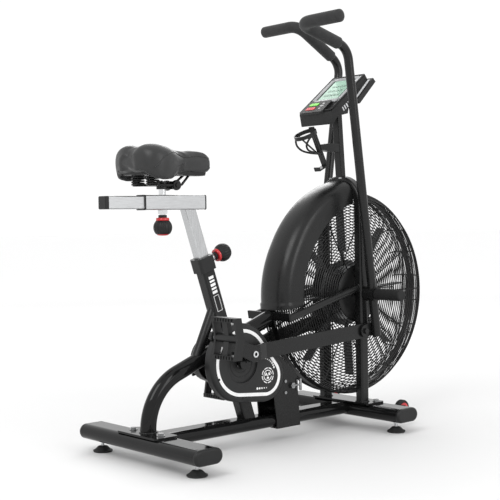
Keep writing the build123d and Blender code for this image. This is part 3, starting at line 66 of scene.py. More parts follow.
class Graph:
    """A material with a Principled shader, and short calls that add the nodes that vary it."""

    def __init__(self, name, metallic=0.0, coat=0.0, coat_roughness=0.1, sheen=0.0, specular=0.5):
        self.material = bpy.data.materials.new(name)
        self.material.use_nodes = True
        self.tree = self.material.node_tree
        self.shader = self.tree.nodes["Principled BSDF"]
        self.shader.inputs["Metallic"].default_value = metallic
        self.shader.inputs["Coat Weight"].default_value = coat
        self.shader.inputs["Coat Roughness"].default_value = coat_roughness
        self.shader.inputs["Sheen Weight"].default_value = sheen
        self.shader.inputs["Specular IOR Level"].default_value = specular
        self.place = self.node("ShaderNodeTexCoord").outputs["Object"]

    def node(self, kind, **inputs):
        made = self.tree.nodes.new(kind)
        for key, value in inputs.items():
            if isinstance(value, bpy.types.NodeSocket):
                self.tree.links.new(value, made.inputs[key])
            else:
                made.inputs[key].default_value = value
        return made

    def link(self, source, socket):
        self.tree.links.new(source, self.shader.inputs[socket])

    def stretched(self, scale):
        mapping = self.node("ShaderNodeMapping", Vector=self.place)
        mapping.inputs["Scale"].default_value = scale
        return mapping.outputs["Vector"]

    def noise(self, scale, detail=3.0, place=None, roughness=0.5):
        made = self.node("ShaderNodeTexNoise", Vector=place or self.place, Scale=scale, Detail=detail,
                         Roughness=roughness)
        return made.outputs["Fac"]

    def cells(self, scale):
        return self.node("ShaderNodeTexVoronoi", Vector=self.place, Scale=scale).outputs["Distance"]

    def ramp(self, factor, stops):
        made = self.node("ShaderNodeValToRGB", Fac=factor)
        ramp = made.color_ramp
        while len(ramp.elements) < len(stops):
            ramp.elements.new(0.5)
        for element, (position, colour) in zip(ramp.elements, stops):
            element.position = position
            element.color = (*colour, 1.0)
        return made.outputs["Color"]

    def span(self, factor, low, high, low_in=0.35, high_in=0.65):
        made = self.node("ShaderNodeMapRange", Value=factor)
        limits = {"From Min": low_in, "From Max": high_in, "To Min": low, "To Max": high}
        for key, value in limits.items():
            made.inputs[key].default_value = value
        return made.outputs["Result"]

    def colour(self, factor, dark, light):
        self.link(self.ramp(factor, ((0.3, dark), (0.7, light))), "Base Color")
        return self

    def gloss(self, factor, low, high):
        self.link(self.span(factor, low, high), "Roughness")
        return self

    def bump(self, height, strength, distance):
        made = self.node("ShaderNodeBump", Height=height, Strength=strength, Distance=distance)
        self.link(made.outputs["Normal"], "Normal")
        return self


def grey(value, blue=0.03):
    return (value, value * (1 + blue / 2), value * (1 + blue))


def powder_coat(name, value, low, high, specular=0.3):
    """Satin powder coat: a fine orange peel and slow changes of tone and gloss."""
    graph = Graph(name, specular=specular)
    slow = graph.noise(9)
    graph.colour(slow, grey(value * 0.85), grey(value * 1.2)).gloss(graph.noise(40), low, high)
    return graph.bump(graph.noise(500, 2), 0.03, 0.0001).material


def moulded(name, value, low, high, grain=1600, strength=0.25):
    """Moulded plastic with a fine spark-eroded grain."""
    graph = Graph(name, specular=0.3)
    graph.colour(graph.noise(14), grey(value * 0.85), grey(value * 1.2))
    graph.gloss(graph.noise(60), low, high)
    return graph.bump(graph.noise(grain, 2), strength, 0.0001).material


def tinted(name, dark, light, low, high, coat=0.0):
    graph = Graph(name, coat=coat)
    graph.colour(graph.noise(60), dark, light).gloss(graph.noise(90), low, high)
    return graph.bump(graph.noise(1500, 2), 0.08, 0.0002).material


def metal(name, value, low, high, grain_scale, strength=0.1):
    """Bare metal. The grain runs along the axis with the smallest scale."""
    graph = Graph(name, metallic=1.0)
    grain = graph.noise(1.0, 3, graph.stretched(grain_scale), 0.6)
    graph.colour(grain, grey(value * 0.82, 0.02), grey(value, 0.03)).gloss(grain, low, high)
    return graph.bump(grain, strength, 0.0002).material


def foam(name, value):
    graph = Graph(name, sheen=0.08, specular=0.2)
    graph.colour(graph.noise(30), grey(value * 0.8), grey(value * 1.2)).gloss(graph.noise(200), 0.6, 0.7)
    return graph.bump(graph.cells(1300), 0.2, 0.0002).material


def leather(name, value):
    """Soft grained cover: pebbles from cells, broken up by noise, with a faint sheen."""
    graph = Graph(name, sheen=0.03, specular=0.4)
    warped = graph.noise(380, 4)
    pebbles = graph.cells(620)
    mixed = graph.node("ShaderNodeMath")
    mixed.operation = "MULTIPLY_ADD"
    graph.tree.links.new(pebbles, mixed.inputs[0])
    mixed.inputs[1].default_value = 0.7
    graph.tree.links.new(warped, mixed.inputs[2])
    graph.colour(graph.noise(12), grey(value * 0.8), grey(value * 1.25))
    graph.gloss(graph.noise(45), 0.36, 0.46)
    return graph.bump(mixed.outputs["Value"], 0.14, 0.0003).material


STEM_FOOT = (0.0188, 0.0195)


def levelling_foot_coat(name):
    """Rubber pad below, zinc stem and nut above, told apart by height."""
    graph = Graph(name, specular=0.4)
    height = graph.node("ShaderNodeSeparateXYZ", Vector=graph.place).outputs["Z"]
    above = graph.span(height, 0.0, 1.0, *STEM_FOOT)
    mix = graph.node("ShaderNodeMix", Factor=above)
    mix.data_type = "RGBA"
    dark = graph.ramp(graph.noise(80), ((0.3, grey(0.012)), (0.7, grey(0.02))))
    light = graph.ramp(graph.noise(200), ((0.3, grey(0.42)), (0.7, grey(0.58))))
    first, second = (socket for socket in mix.inputs if socket.type == "RGBA")
    graph.tree.links.new(dark, first)
    graph.tree.links.new(light, second)
    graph.link(next(socket for socket in mix.outputs if socket.type == "RGBA"), "Base Color")
    graph.link(above, "Metallic")
    graph.link(graph.span(height, 0.72, 0.34, *STEM_FOOT), "Roughness")
    return graph.bump(graph.noise(900), 0.12, 0.0003).material


def display_glass(name):
    """Liquid crystal window: pale green, brighter to one end, with a clear coat."""
    graph = Graph(name, coat=1.0, coat_roughness=0.04)
    fade = graph.span(graph.node("ShaderNodeSeparateXYZ", Vector=graph.place).outputs["X"], 0.2, 0.8,
                      ahead(735), ahead(870))
    graph.colour(fade, (0.24, 0.42, 0.31), (0.42, 0.66, 0.52)).gloss(graph.noise(300), 0.3, 0.4)
    return graph.bump(graph.noise(2200), 0.05, 0.0001).material


BLACK = powder_coat("frame_coat", 0.0075, 0.24, 0.31)
BAR = powder_coat("bar_coat", 0.006, 0.07, 0.11, 0.22)
SHROUD = powder_coat("shroud_coat", 0.0075, 0.26, 0.33)
WIRE = powder_coat("cage_coat", 0.006, 0.36, 0.46)
COVER = moulded("cover_plastic", 0.015, 0.4, 0.5)
TRIM = moulded("trim_plastic", 0.009, 0.34, 0.44)
CONSOLE = moulded("console_plastic", 0.011, 0.36, 0.46)
BEZEL = moulded("bezel_plastic", 0.34, 0.36, 0.48)
TRAY = moulded("tray_plastic", 0.62, 0.3, 0.42)
RUBBER = moulded("rubber", 0.01, 0.6, 0.72, 900, 0.4)
KNOB = moulded("knob_rubber", 0.007, 0.36, 0.46)
FOAM = foam("foam", 0.024)
LEATHER = leather("leather", 0.018)
PIPING = leather("piping", 0.014)
RED = tinted("red_plastic", (0.42, 0.008, 0.012), (0.6, 0.016, 0.022), 0.3, 0.42, 0.3)
GREEN_KEY = tinted("green_key", (0.13, 0.56, 0.03), (0.2, 0.72, 0.06), 0.3, 0.4, 0.2)
RED_KEY = tinted("red_key", (0.52, 0.02, 0.03), (0.68, 0.04, 0.05), 0.3, 0.4, 0.2)
WHITE = tinted("white_print", (0.78, 0.78, 0.78), (0.88, 0.88, 0.88), 0.42, 0.55)
SILVER = metal("silver", 0.56, 0.36, 0.44, (30, 900, 900), 0.03)
POST = metal("post_steel", 0.55, 0.24, 0.32, (900, 900, 30), 0.03)
CHROME = metal("chrome_plate", 0.74, 0.08, 0.14, (300, 300, 300), 0.03)
ZINC = metal("zinc_plate", 0.34, 0.22, 0.32, (500, 500, 500))
STEEL = metal("machined_steel", 0.38, 0.34, 0.48, (700, 60, 700))
SHEET = metal("fan_sheet", 0.1, 0.42, 0.56, (90, 500, 90))
BELT = moulded("belt", 0.01, 0.7, 0.82, 700, 0.5)
FOOT = levelling_foot_coat("foot_rubber")
GLASS = display_glass("display_glass")

NODE_MATERIALS = {
    BAR: ("rear_stabiliser", "front_stabiliser", "spine_tube", "mount_plates", "arch_tube"),
    BLACK: ("seat_tube", "brace_tubes", "bottom_bracket", "drive_bracket", "fan_fork", "mast",
            "link_right", "link_left", "lever_right", "lever_left", "crank_set", "saddle_clamp"),
    SHROUD: ("fan_shroud",),
    TRIM: ("end_caps", "bottle_cage", "seat_collar", "rail_end_cap", "sleeve_bush", "pedal_right",
           "pedal_left"),
    COVER: ("housing_outer", "housing_inner", "belt_guard"),
    CONSOLE: ("console_shell",),
    GLASS: ("console_display",),
    GREEN_KEY: ("start_button",),
    RED_KEY: ("stop_button",),
    RUBBER: ("foot_pegs", "wheel_right", "wheel_left"),
    FOOT: ("foot_rear_right", "foot_rear_left", "foot_front_right", "foot_front_left"),
    SILVER: ("seat_sleeve", "seat_rail"),
    POST: ("seat_post",),
    CHROME: ("saddle_pin",),
    ZINC: ("frame_bolts", "fan_axle"),
    STEEL: ("bearings", "crank_pulley", "jackshaft", "fan_hub"),
    SHEET: ("fan_paddles",),
    BELT: ("drive_belts",),
}
for material, names in NODE_MATERIALS.items():
    for name in names:
        for place in NODES[name].material_slots:
            place.material = material

# ---- mesh helpers


def linked(name, data):
    """A new object in the scene."""
    obj = bpy.data.objects.new(name, data)
    bpy.context.scene.collection.objects.link(obj)
    return obj


def linked_mesh(name, bm):
    """A new object from a bmesh, which is used up."""
    mesh = bpy.data.meshes.new(name)
    bmesh.ops.recalc_face_normals(bm, faces=bm.faces)
    bm.to_mesh(mesh)
    bm.free()
    return linked(name, mesh)


def piece(name, bm, body, material, replaces=(), smooth=True):
    """A finished object from a bmesh: linked, painted, riding on its body."""
    obj = linked_mesh(name, bm)
    for face in obj.data.polygons:
        face.use_smooth = smooth
    obj.data.materials.append(material)
    return settle(obj, body, replaces)


def settle(obj, body, replaces=()):
    """Puts a piece on its body, in place of the CAD nodes it stands for."""
    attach(obj, body)
    if replaces:
        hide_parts(*replaces)
    return obj


def sharp_edges(obj, degrees=35):
    """Flat faces stay flat: edges sharper than this angle are marked sharp."""
    obj.data.set_sharp_from_angle(angle=math.radians(degrees))


def bridge(bm, first, second):
    """Faces between two closed rings with the same number of points."""
    count = len(first)
    for k in range(count):
        j = (k + 1) % count
        bm.faces.new((first[k], first[j], second[j], second[k]))


def add_tube(bm, points, radius, closed=False, around=10):
    """A round tube along points. The radius is a number or a function of the share of the length."""
    count = len(points)
    tangents = []
    for i in range(count):
        before = points[i - 1] if closed or i else points[0]
        after = points[(i + 1) % count] if closed or i < count - 1 else points[-1]
        tangents.append((after - before).normalized())
    guide = Z if abs(tangents[0].z) < 0.9 else X
    rings = []
    for i, (point, tangent) in enumerate(zip(points, tangents)):
        side = guide - tangent * guide.dot(tangent)
        side.normalize()
        guide = side
        other = tangent.cross(side)
        size = radius(i / max(count - 1, 1)) if callable(radius) else radius
        rings.append([bm.verts.new(point + (side * math.cos(a) + other * math.sin(a)) * size)
                      for a in (2 * math.pi * k / around for k in range(around))])
    pairs = list(zip(rings, rings[1:])) + ([(rings[-1], rings[0])] if closed else [])
    for first, second in pairs:
        bridge(bm, first, second)
    if not closed:
        bm.faces.new(rings[0])
        bm.faces.new(reversed(rings[-1]))


def add_revolved(bm, origin, axis, profile, around, wave=None):
    """A closed (radius, height) outline turned about an axis. wave(angle) scales the radius."""
    axis = axis.normalized()
    side = axis.orthogonal().normalized()
    other = axis.cross(side)
    rings = []
    for k in range(around):
        angle = 2 * math.pi * k / around
        out = side * math.cos(angle) + other * math.sin(angle)
        grow = wave(angle) if wave else 1.0
        rings.append([bm.verts.new(origin + out * radius * grow + axis * height)
                      for radius, height in profile])
    for first, second in zip(rings, rings[1:] + rings[:1]):
        bridge(bm, first, second)
    bmesh.ops.remove_doubles(bm, verts=bm.verts, dist=1e-6)


def add_box(bm, centre, axes, sizes, bevel=0.0):
    """A box with rounded edges, on three perpendicular axes."""
    turn = Matrix([axis * size for axis, size in zip(axes, sizes)]).transposed().to_4x4()
    made = bmesh.ops.create_cube(bm, size=1.0, matrix=Matrix.Translation(centre) @ turn)
    if bevel:
        corners = set(made["verts"])
        edges = [edge for edge in bm.edges if edge.verts[0] in corners]
        bmesh.ops.bevel(bm, geom=edges, offset=bevel, segments=2, affect="EDGES", profile=0.5)


def turned(name, body, slot, material, *rings, angle=35):
    """A piece of turned rings, each an origin, an axis, an outline and a number of steps."""
    bm = bmesh.new()
    for ring in rings:
        add_revolved(bm, *ring)
    sharp_edges(piece(name, bm, body, material), angle)


def circle_points(centre, radius, y, count):
    """Points of a circle that faces along Y."""
    return [Vector((centre.x + radius * math.cos(a), y, centre.z + radius * math.sin(a)))
            for a in (2 * math.pi * k / count for k in range(count))]


def tube_piece(name, points, radius, body, slot, material, **more):
    bm = bmesh.new()
    add_tube(bm, points, radius, **more)
    return piece(name, bm, body, material)


def smooth_path(corners, radius, steps=8):
    """Straight runs with round corners, as points."""
    points = [corners[0]]
    for before, corner, after in zip(corners, corners[1:], corners[2:]):
        back = (before - corner).normalized()
        onward = (after - corner).normalized()
        half = back.angle(onward) / 2
        reach = min(radius / math.tan(half), (before - corner).length * 0.49,
                    (after - corner).length * 0.49)
        start, end = corner + back * reach, corner + onward * reach
        for k in range(steps + 1):
            t = k / steps
            points.append(start.lerp(corner, t).lerp(corner.lerp(end, t), t))
    points.append(corners[-1])
    return points

# ---- fan cage

FAN = middle("fan_axle")
CAGE_R = 0.343
GRILLE_R = 0.322
GRILLE_Y = 0.062
HUB_PLATE_R = 0.095
WIRE_R = 0.0018
RING_PITCH = 0.0098
RIB_COUNT = 24
RIM_ROWS = ((0.3405, 0.0165), (0.3405, 0.0225), (0.3408, 0.0285), (0.3412, 0.0345), (0.34, 0.0405),
            (0.336, 0.0455), (0.331, 0.0502), (0.3265, 0.0548))
HOOP_HALF = 0.0115
BELT_WINDOW = (552, 0.29)


def fan_point(radius, angle, y):
    return Vector((FAN.x + radius * math.cos(angle), y, FAN.z + radius * math.sin(angle)))


def belt_gap(point, side):
    """True where the left rim is open for the belt."""
    x, z = BELT_WINDOW
    return side == LEFT and abs(point.x - ahead(x)) < 0.046 and abs(point.z - z) < 0.056


def grille(name, side):
    """Concentric wires on radial ribs, welded to a dished plate round the axle."""
    bm = bmesh.new()
    rings = int((GRILLE_R - HUB_PLATE_R) / RING_PITCH)
    for ring in range(rings + 1):
        radius = GRILLE_R - ring * (GRILLE_R - HUB_PLATE_R) / rings
        add_tube(bm, circle_points(FAN, radius, side * GRILLE_Y, 108), WIRE_R, closed=True, around=6)
    for rib in range(RIB_COUNT // 2):
        angle = 2 * math.pi * rib / (RIB_COUNT // 2)
        points = [fan_point(r, angle, side * (GRILLE_Y - 0.002))
                  for r in (HUB_PLATE_R - 0.012, 0.2, GRILLE_R)]
        add_tube(bm, points, 0.0022, around=6)
    profile = [(0.0102, 0.0), (0.024, 0.0), (0.028, 0.0012), (0.06, 0.0018), (0.064, 0.0028),
               (0.091, 0.0028), (HUB_PLATE_R, 0.0008), (HUB_PLATE_R, -0.0008), (0.0102, -0.0012)]
    add_revolved(bm, Vector((FAN.x, side * 0.0612, FAN.z)), Y * side, profile, 72)
    node = name.replace("wires", "grille")
    sharp_edges(piece(name, bm, "frame", WIRE, (node,)), 50)


def rim():
    """The closed hoop with rolled edges, and the open wires and ribs on both sides of it."""
    bm = bmesh.new()
    half = HOOP_HALF
    profile = [(CAGE_R - 0.003, -half), (CAGE_R - 0.0008, -half - 0.0008), (CAGE_R, -half + 0.002),
               (CAGE_R - 0.0012, -half + 0.006), (CAGE_R - 0.0004, 0), (CAGE_R - 0.0012, half - 0.006),
               (CAGE_R, half - 0.002), (CAGE_R - 0.0008, half + 0.0008), (CAGE_R - 0.003, half),
               (CAGE_R - 0.0034, 0)]
    add_revolved(bm, FAN, Y, profile, 144)
    for side in (RIGHT, LEFT):
        for radius, y in RIM_ROWS:
            run = circle_points(FAN, radius, side * y, 144)
            if y < 0.04 or side == RIGHT:
                add_tube(bm, run, WIRE_R, closed=True, around=6)
                continue
            start = next(i for i, p in enumerate(run)
                         if belt_gap(run[i - 1], side) and not belt_gap(p, side))
            ordered = run[start:] + run[:start]
            add_tube(bm, [p for p in ordered if not belt_gap(p, side)], WIRE_R, around=6)
        for rib in range(RIB_COUNT):
            angle = 2 * math.pi * (rib + 0.5) / RIB_COUNT
            path = [fan_point(r, angle, side * y)
                    for r, y in ((0.3405, 0.01),) + RIM_ROWS + ((0.3195, 0.0605),)]
            if not any(belt_gap(point, side) for point in path[-3:]):
                add_tube(bm, path, 0.0021, around=6)
    sharp_edges(piece("rim_wires", bm, "frame", WIRE, ("cage_rim",)), 50)


grille("wires_right", RIGHT)
grille("wires_left", LEFT)
rim()

# ---- fan shroud

SHROUD_CROWN = 0.3515
SHROUD_CROWN_RISE = 0.0325
SHROUD_EDGE = 0.2625
SHROUD_EDGE_RISE = 0.043
SHROUD_HALF = 0.07
SHROUD_WALL = 0.0026
SHROUD_FROM, SHROUD_TO = 94.6, 186.0
SHROUD_RISES_AT = 150
SHROUD_LIP, SHROUD_LIP_ARC = 0.0024, 2.6
SHROUD_DOME = ((0, 0), (14, 0.5), (26, 2.0), (36, 4.6), (44, 7.8), (51, 12), (57, 17), (61.8, 22.5),
               (65.2, 29), (67.4, 37), (68.7, 46), (69.4, 56))


def shroud_section(angle, wall):
    """Half of the domed section, as (y, radius) from the crown to the inner edge on the flank."""
    lip = SHROUD_LIP if angle > SHROUD_TO - SHROUD_LIP_ARC else 0.0
    rise = max(0.0, (SHROUD_RISES_AT - angle) / (SHROUD_RISES_AT - SHROUD_FROM))
    edge = SHROUD_EDGE + SHROUD_EDGE_RISE * rise ** 1.4
    crown = SHROUD_CROWN + SHROUD_CROWN_RISE * rise ** 1.3
    run = [(y / 1000 * (1 - wall / SHROUD_HALF), crown - drop / 1000 - wall) for y, drop in SHROUD_DOME]
    low = run[-1]
    run += [(low[0], low[1] + (edge - low[1]) * k / 5) for k in range(1, 6)]
    return [(y + (lip if y > 0.02 else 0), radius + lip) for y, radius in run]


def shroud():
    """The domed cover over the fan's rear quarter, with a lip at its foot."""
    bm = bmesh.new()
    stations = 110
    rings = []
    for k in range(stations + 1):
        angle = SHROUD_FROM + (SHROUD_TO - SHROUD_FROM) * k / stations
        loop = []
        for wall, back in ((0.0, False), (SHROUD_WALL, True)):
            half = shroud_section(angle, wall)
            whole = [(-y, radius) for y, radius in reversed(half[1:])] + half
            loop += list(reversed(whole)) if back else whole
        rings.append([bm.verts.new(fan_point(radius, math.radians(angle), y)) for y, radius in loop])
    for first, second in zip(rings, rings[1:]):
        bridge(bm, first, second)
    around = len(rings[0])
    for ring in (rings[0], rings[-1]):
        for k in range(around // 2 - 1):
            bm.faces.new((ring[k], ring[k + 1], ring[around - 2 - k], ring[around - 1 - k]))
    sharp_edges(piece("shroud_dome", bm, "frame", SHROUD, ("fan_shroud",)), 50)


shroud()

# ---- saddle

SADDLE_REAR = -57
SADDLE_TIP = 251
SADDLE_SHAPE = ((0.0, 40), (0.05, 80), (0.14, 99), (0.24, 101), (0.36, 88), (0.5, 58), (0.62, 36),
                (0.76, 27), (0.9, 25), (0.97, 19), (1.0, 10))
SADDLE_TOP = ((0.0, 905), (0.05, 922), (0.13, 929), (0.24, 929), (0.42, 920), (0.58, 914), (0.78, 918),
              (0.9, 917), (0.97, 906), (1.0, 896))
SADDLE_UNDER = ((0.0, 860), (0.1, 852), (0.3, 852), (0.75, 853), (0.93, 857), (1.0, 870))
SADDLE_WING = ((0.0, 4), (0.05, 8), (0.13, 21), (0.28, 24), (0.42, 14), (0.56, 2), (1.0, 0))


def along(table, share):
    """Smooth value from (share, value) pairs, on a cubic through each of them."""
    last = len(table) - 1
    i = next((k for k in range(last) if share <= table[k + 1][0]), last - 1)
    (s0, v0), (s1, v1) = table[i], table[i + 1]
    before, after = table[max(i - 1, 0)], table[min(i + 2, last)]
    step = s1 - s0
    slope0 = (v1 - before[1]) / (s1 - before[0]) * step
    slope1 = (after[1] - v0) / (after[0] - s0) * step
    t = (share - s0) / step
    return ((2 * t - 3) * t * t + 1) * v0 + ((t - 2) * t + 1) * t * slope0 \
        + (3 - 2 * t) * t * t * v1 + (t - 1) * t * t * slope1


def rounded(points, per):
    """Smooth curve through the points, with a number of steps between each pair."""
    result = []
    for i in range(len(points) - 1):
        p0, p1 = points[max(i - 1, 0)], points[i]
        p2, p3 = points[i + 1], points[min(i + 2, len(points) - 1)]
        for k in range(per):
            t = k / per
            result.append(tuple(0.5 * (2 * b + (c - a) * t + (2 * a - 5 * b + 4 * c - d) * t * t
                                       + (3 * b - a - 3 * c + d) * t ** 3)
                                for a, b, c, d in zip(p0, p1, p2, p3)))
    result.append(points[-1])
    return result


def saddle_section(share):
    """Right half of a cross section, from the crown down the flank and round the wing's inner face."""
    half, top = along(SADDLE_SHAPE, share), along(SADDLE_TOP, share)
    under, wing = along(SADDLE_UNDER, share), along(SADDLE_WING, share)
    lobe = max(0.0, 1 - share / 0.5) ** 0.7
    height = top - under
    outer = [(0.0, top - 9 * lobe), (0.24 * half, top - 6.5 * lobe), (0.48 * half, top),
             (0.74 * half, top - 0.07 * height), (0.93 * half, top - 0.27 * height),
             (half, top - 0.56 * height), (0.985 * half, under + 0.12 * height),
             (0.95 * half, under - wing * 0.6), (0.9 * half, under - wing)]
    run = rounded(outer, 4)
    inner = 0.9 * half - 9 if half > 30 else 0.55 * half
    return run + [(max(inner, 4), under - wing * 0.96), (max(inner - 3, 3), under), (0.0, under)]


def saddle_form():
    """Sections from the tail to the nose: two raised lobes, a channel between them and side wings."""
    bm = bmesh.new()
    stations = 56
    rings = []
    for i in range(stations):
        share = 0.5 - 0.5 * math.cos(math.pi * i / (stations - 1))
        x = SADDLE_REAR + (SADDLE_TIP - SADDLE_REAR) * share
        run = saddle_section(share)
        loop = [(y, z) for y, z in run] + [(-y, z) for y, z in reversed(run[1:-1])]
        dent = 9 * max(0.0, 1 - share / 0.12)
        rings.append([bm.verts.new((ahead(x + dent * math.exp(-(y / 22) ** 2)), y / 1000, z / 1000))
                      for y, z in loop])
    for first, second in zip(rings, rings[1:]):
        bridge(bm, first, second)
    bm.faces.new(rings[0])
    bm.faces.new(reversed(rings[-1]))
    return bm


def swell(obj, voxel, pressure, cap):
    """Remeshes a form and inflates it as cloth. No point moves further than the cap."""
    modifier = obj.modifiers.new("remesh", "REMESH")
    modifier.mode = "VOXEL"
    modifier.voxel_size = voxel
    modifier.use_smooth_shade = True
    apply_modifiers(obj)
    before = [vertex.co.copy() for vertex in obj.data.vertices]
    cloth = obj.modifiers.new("cloth", "CLOTH")
    cloth.settings.quality = 6
    cloth.settings.mass = 0.3
    cloth.settings.use_pressure = True
    cloth.settings.uniform_pressure_force = pressure
    cloth.settings.tension_stiffness = 18
    cloth.settings.bending_stiffness = 0.6
    cloth.settings.effector_weights.gravity = 0
    cloth.point_cache.frame_start = 1
    cloth.point_cache.frame_end = 20
    for step in range(1, 21):
        bpy.context.scene.frame_set(step)
    apply_modifiers(obj)
    for vertex, start in zip(obj.data.vertices, before):
        move = vertex.co - start
        if move.length > cap:
            vertex.co = start + move * (cap / move.length)
    bpy.context.scene.frame_set(1)


def apply_modifiers(obj):
    """Writes what the modifiers make into the mesh itself."""
    graph = bpy.context.evaluated_depsgraph_get()
    graph.update()
    mesh = bpy.data.meshes.new_from_object(obj.evaluated_get(graph))
    obj.modifiers.clear()
    obj.data = mesh


def saddle_cover():
    """The cushion: swollen as cloth, then smoothed."""
    obj = linked_mesh("saddle_cover", saddle_form())
    swell(obj, 0.004, 4.0, 0.004)
    smooth = obj.modifiers.new("smooth", "SMOOTH")
    smooth.factor = 0.5
    smooth.iterations = 6
    fine = obj.modifiers.new("fine", "SUBSURF")
    fine.levels = 1
    fine.render_levels = 1
    apply_modifiers(obj)
    for face in obj.data.polygons:
        face.use_smooth = True
    obj.data.materials.clear()
    obj.data.materials.append(LEATHER)
    return settle(obj, "saddle", ("saddle_cushion",))


def side_points(obj, height, first, last, side, count):
    """Points on the cushion's side, at a height that is a function of the share of the length."""
    points = []
    for i in range(count):
        share = first + (last - first) * i / (count - 1)
        x = ahead(SADDLE_REAR + (SADDLE_TIP - SADDLE_REAR) * share)
        start = Vector((x, side * 0.2, height(share)))
        hit, place, normal, _ = obj.ray_cast(start, -Y * side)
        if hit:
            points.append(place + normal * 0.0003)
    return points


FLANK_SEAM = ((0.0, 858), (0.1, 862), (0.2, 893), (0.34, 909), (0.46, 908), (0.6, 899), (0.8, 903),
              (1.0, 898))


def saddle_seams(cover):
    """Stitched piping: a low line round the skirt and an arched line over each flank."""
    def skirt(share):
        return (along(SADDLE_UNDER, share) - along(SADDLE_WING, share) + 7) / 1000

    def flank(share):
        return along(FLANK_SEAM, share) / 1000

    for name, side in SIDES.items():
        low = side_points(cover, skirt, 0.03, 0.97, side, 80)
        arch = side_points(cover, flank, 0.1, 0.96, side, 90)
        for label, run in (("low", low), ("arch", arch)):
            obj = tube_piece(f"seam_{label}_{name}", run, 0.0013, "saddle", "seat_leather", PIPING,
                             around=8)


cover = saddle_cover()
saddle_seams(cover)

SPRING = (ahead(10), 0.036)
SPRING_R, SPRING_END_R = 0.0178, 0.0148
SPRING_FOOT, SPRING_RISE = 0.8155, 0.029
SPRING_SEAT = [(0.0, 0), (0.014, 0), (0.0165, 0.001), (0.0165, 0.0022), (0.0, 0.0024)]
JAW = [(0.0042, 0), (0.0142, 0), (0.015, 0.0012), (0.015, 0.0088), (0.0138, 0.0105), (0.0042, 0.0105)]
JAW_NUT = [(0.0, 0), (0.0068, 0), (0.0074, 0.0008), (0.0074, 0.0034), (0.0062, 0.0042), (0.0, 0.0042)]
PAN_LEVELS = ((0.8445, 0.8), (0.846, 0.86), (0.856, 0.88))
PAN_X = ahead(95)
RAIL_CORNERS = ((-4, 0.036, 0.8165), (56, 0.023, 0.8165), (126, 0.023, 0.8165), (162, 0.014, 0.847))
TILT = Vector((ahead(107), 0, 0.816))
JAW_TEETH = 22


def saddle_pan():
    """Shell under the cushion."""
    bm = bmesh.new()
    count = 56
    rings = []
    for z, grow in PAN_LEVELS:
        ring = []
        for k in range(count):
            a = 2 * math.pi * k / count
            share = min(max(0.5 - 0.5 * math.cos(a), 0.012), 0.99)
            half = along(SADDLE_SHAPE, share) / 1000 * grow
            x = ahead(SADDLE_REAR + (SADDLE_TIP - SADDLE_REAR) * share)
            y = half if math.sin(a) >= 0 else -half
            ring.append(bm.verts.new((PAN_X + (x - PAN_X) * grow, y, z)))
        rings.append(ring)
    for first, second in zip(rings, rings[1:]):
        bridge(bm, first, second)
    bm.faces.new(reversed(rings[0]))
    bm.faces.new(rings[-1])
    sharp_edges(piece("saddle_pan", bm, "saddle", TRIM, ("saddle_rails",)))


def jaw_wave(angle):
    return 1 + 0.035 * math.cos(JAW_TEETH * angle)


def saddle_undercarriage():
    """Coil springs, bent rails and the toothed jaws of the clamp."""
    for name, side in SIDES.items():
        centre = Vector((SPRING[0], side * SPRING[1], 0))
        turns, steps = 4.25, 110
        coil = []
        for k in range(steps + 1):
            t = k / steps
            squeeze = SPRING_END_R if t < 0.06 or t > 0.94 else SPRING_R
            a = 2 * math.pi * turns * t
            height = SPRING_FOOT + SPRING_RISE * t
            coil.append(centre + Vector((squeeze * math.cos(a), squeeze * math.sin(a), height)))
        tube_piece(f"spring_{name}", coil, 0.0026, "saddle", "saddle_black", BLACK)
        path = smooth_path([Vector((ahead(x), side * y, z)) for x, y, z in RAIL_CORNERS], 0.014)
        tube_piece(f"saddle_rail_{name}", path, 0.0038, "saddle", "saddle_black", BLACK, around=14)
        outward = Y * side
        turned(f"saddle_jaw_{name}", "saddle", "saddle_black", BLACK,
               (TILT + outward * 0.0176, outward, JAW, JAW_TEETH * 4, jaw_wave),
               (TILT + outward * 0.0281, outward, JAW_NUT, 6))
    seats = [(Vector((SPRING[0], y, 0.8125)), Z, SPRING_SEAT, 32) for y in (-SPRING[1], SPRING[1])]
    turned("spring_seats", "saddle", "saddle_black", BLACK, *seats)


saddle_pan()
saddle_undercarriage()

# ---- knobs

BALL_R = 0.0282
BALL_TOP = -0.0205
BALL_FOOT = 0.0195
NECK = [(0.0042, -0.0372), (0.0118, -0.0372), (0.0128, -0.0362), (0.0128, -0.0288), (0.0042, -0.0288)]
NECK_RING = [(0.0042, -0.0288), (0.0184, -0.0288), (0.0196, -0.0276), (0.0202, -0.0216),
             (0.0192, -0.0204), (0.0042, -0.0204)]
BALL_CAP = [(0.0, 0.0192), (0.0178, 0.0192), (0.0182, 0.0202), (0.0158, 0.0226), (0.0098, 0.0242),
            (0.0, 0.0246)]


def ball_knob(name, centre, axis, body, node):
    """Ribbed rubber ball on a red neck ring, with a red cap at its outer end. The axis points out."""
    axis = axis.normalized()
    lobes, steps = 16, 22
    bm = bmesh.new()
    profile = [(0.0, BALL_TOP)]
    for k in range(steps + 1):
        h = BALL_TOP + (BALL_FOOT - BALL_TOP) * k / steps
        profile.append((math.sqrt(BALL_R ** 2 - h ** 2), h))
    profile.append((0.0, BALL_FOOT))
    add_revolved(bm, centre, axis, profile, lobes * 8,
                 lambda a: 1 - 0.05 * max(0.0, math.cos(lobes * a)) ** 3)
    sharp_edges(piece(name, bm, body, KNOB, (node,)), 60)
    turned(name + "_neck", body, "knob_black", KNOB, (centre, axis, NECK, 40), angle=40)
    turned(name + "_red", body, "knob_black", RED, (centre, axis, NECK_RING, 48),
           (centre, axis, BALL_CAP, 48), angle=40)


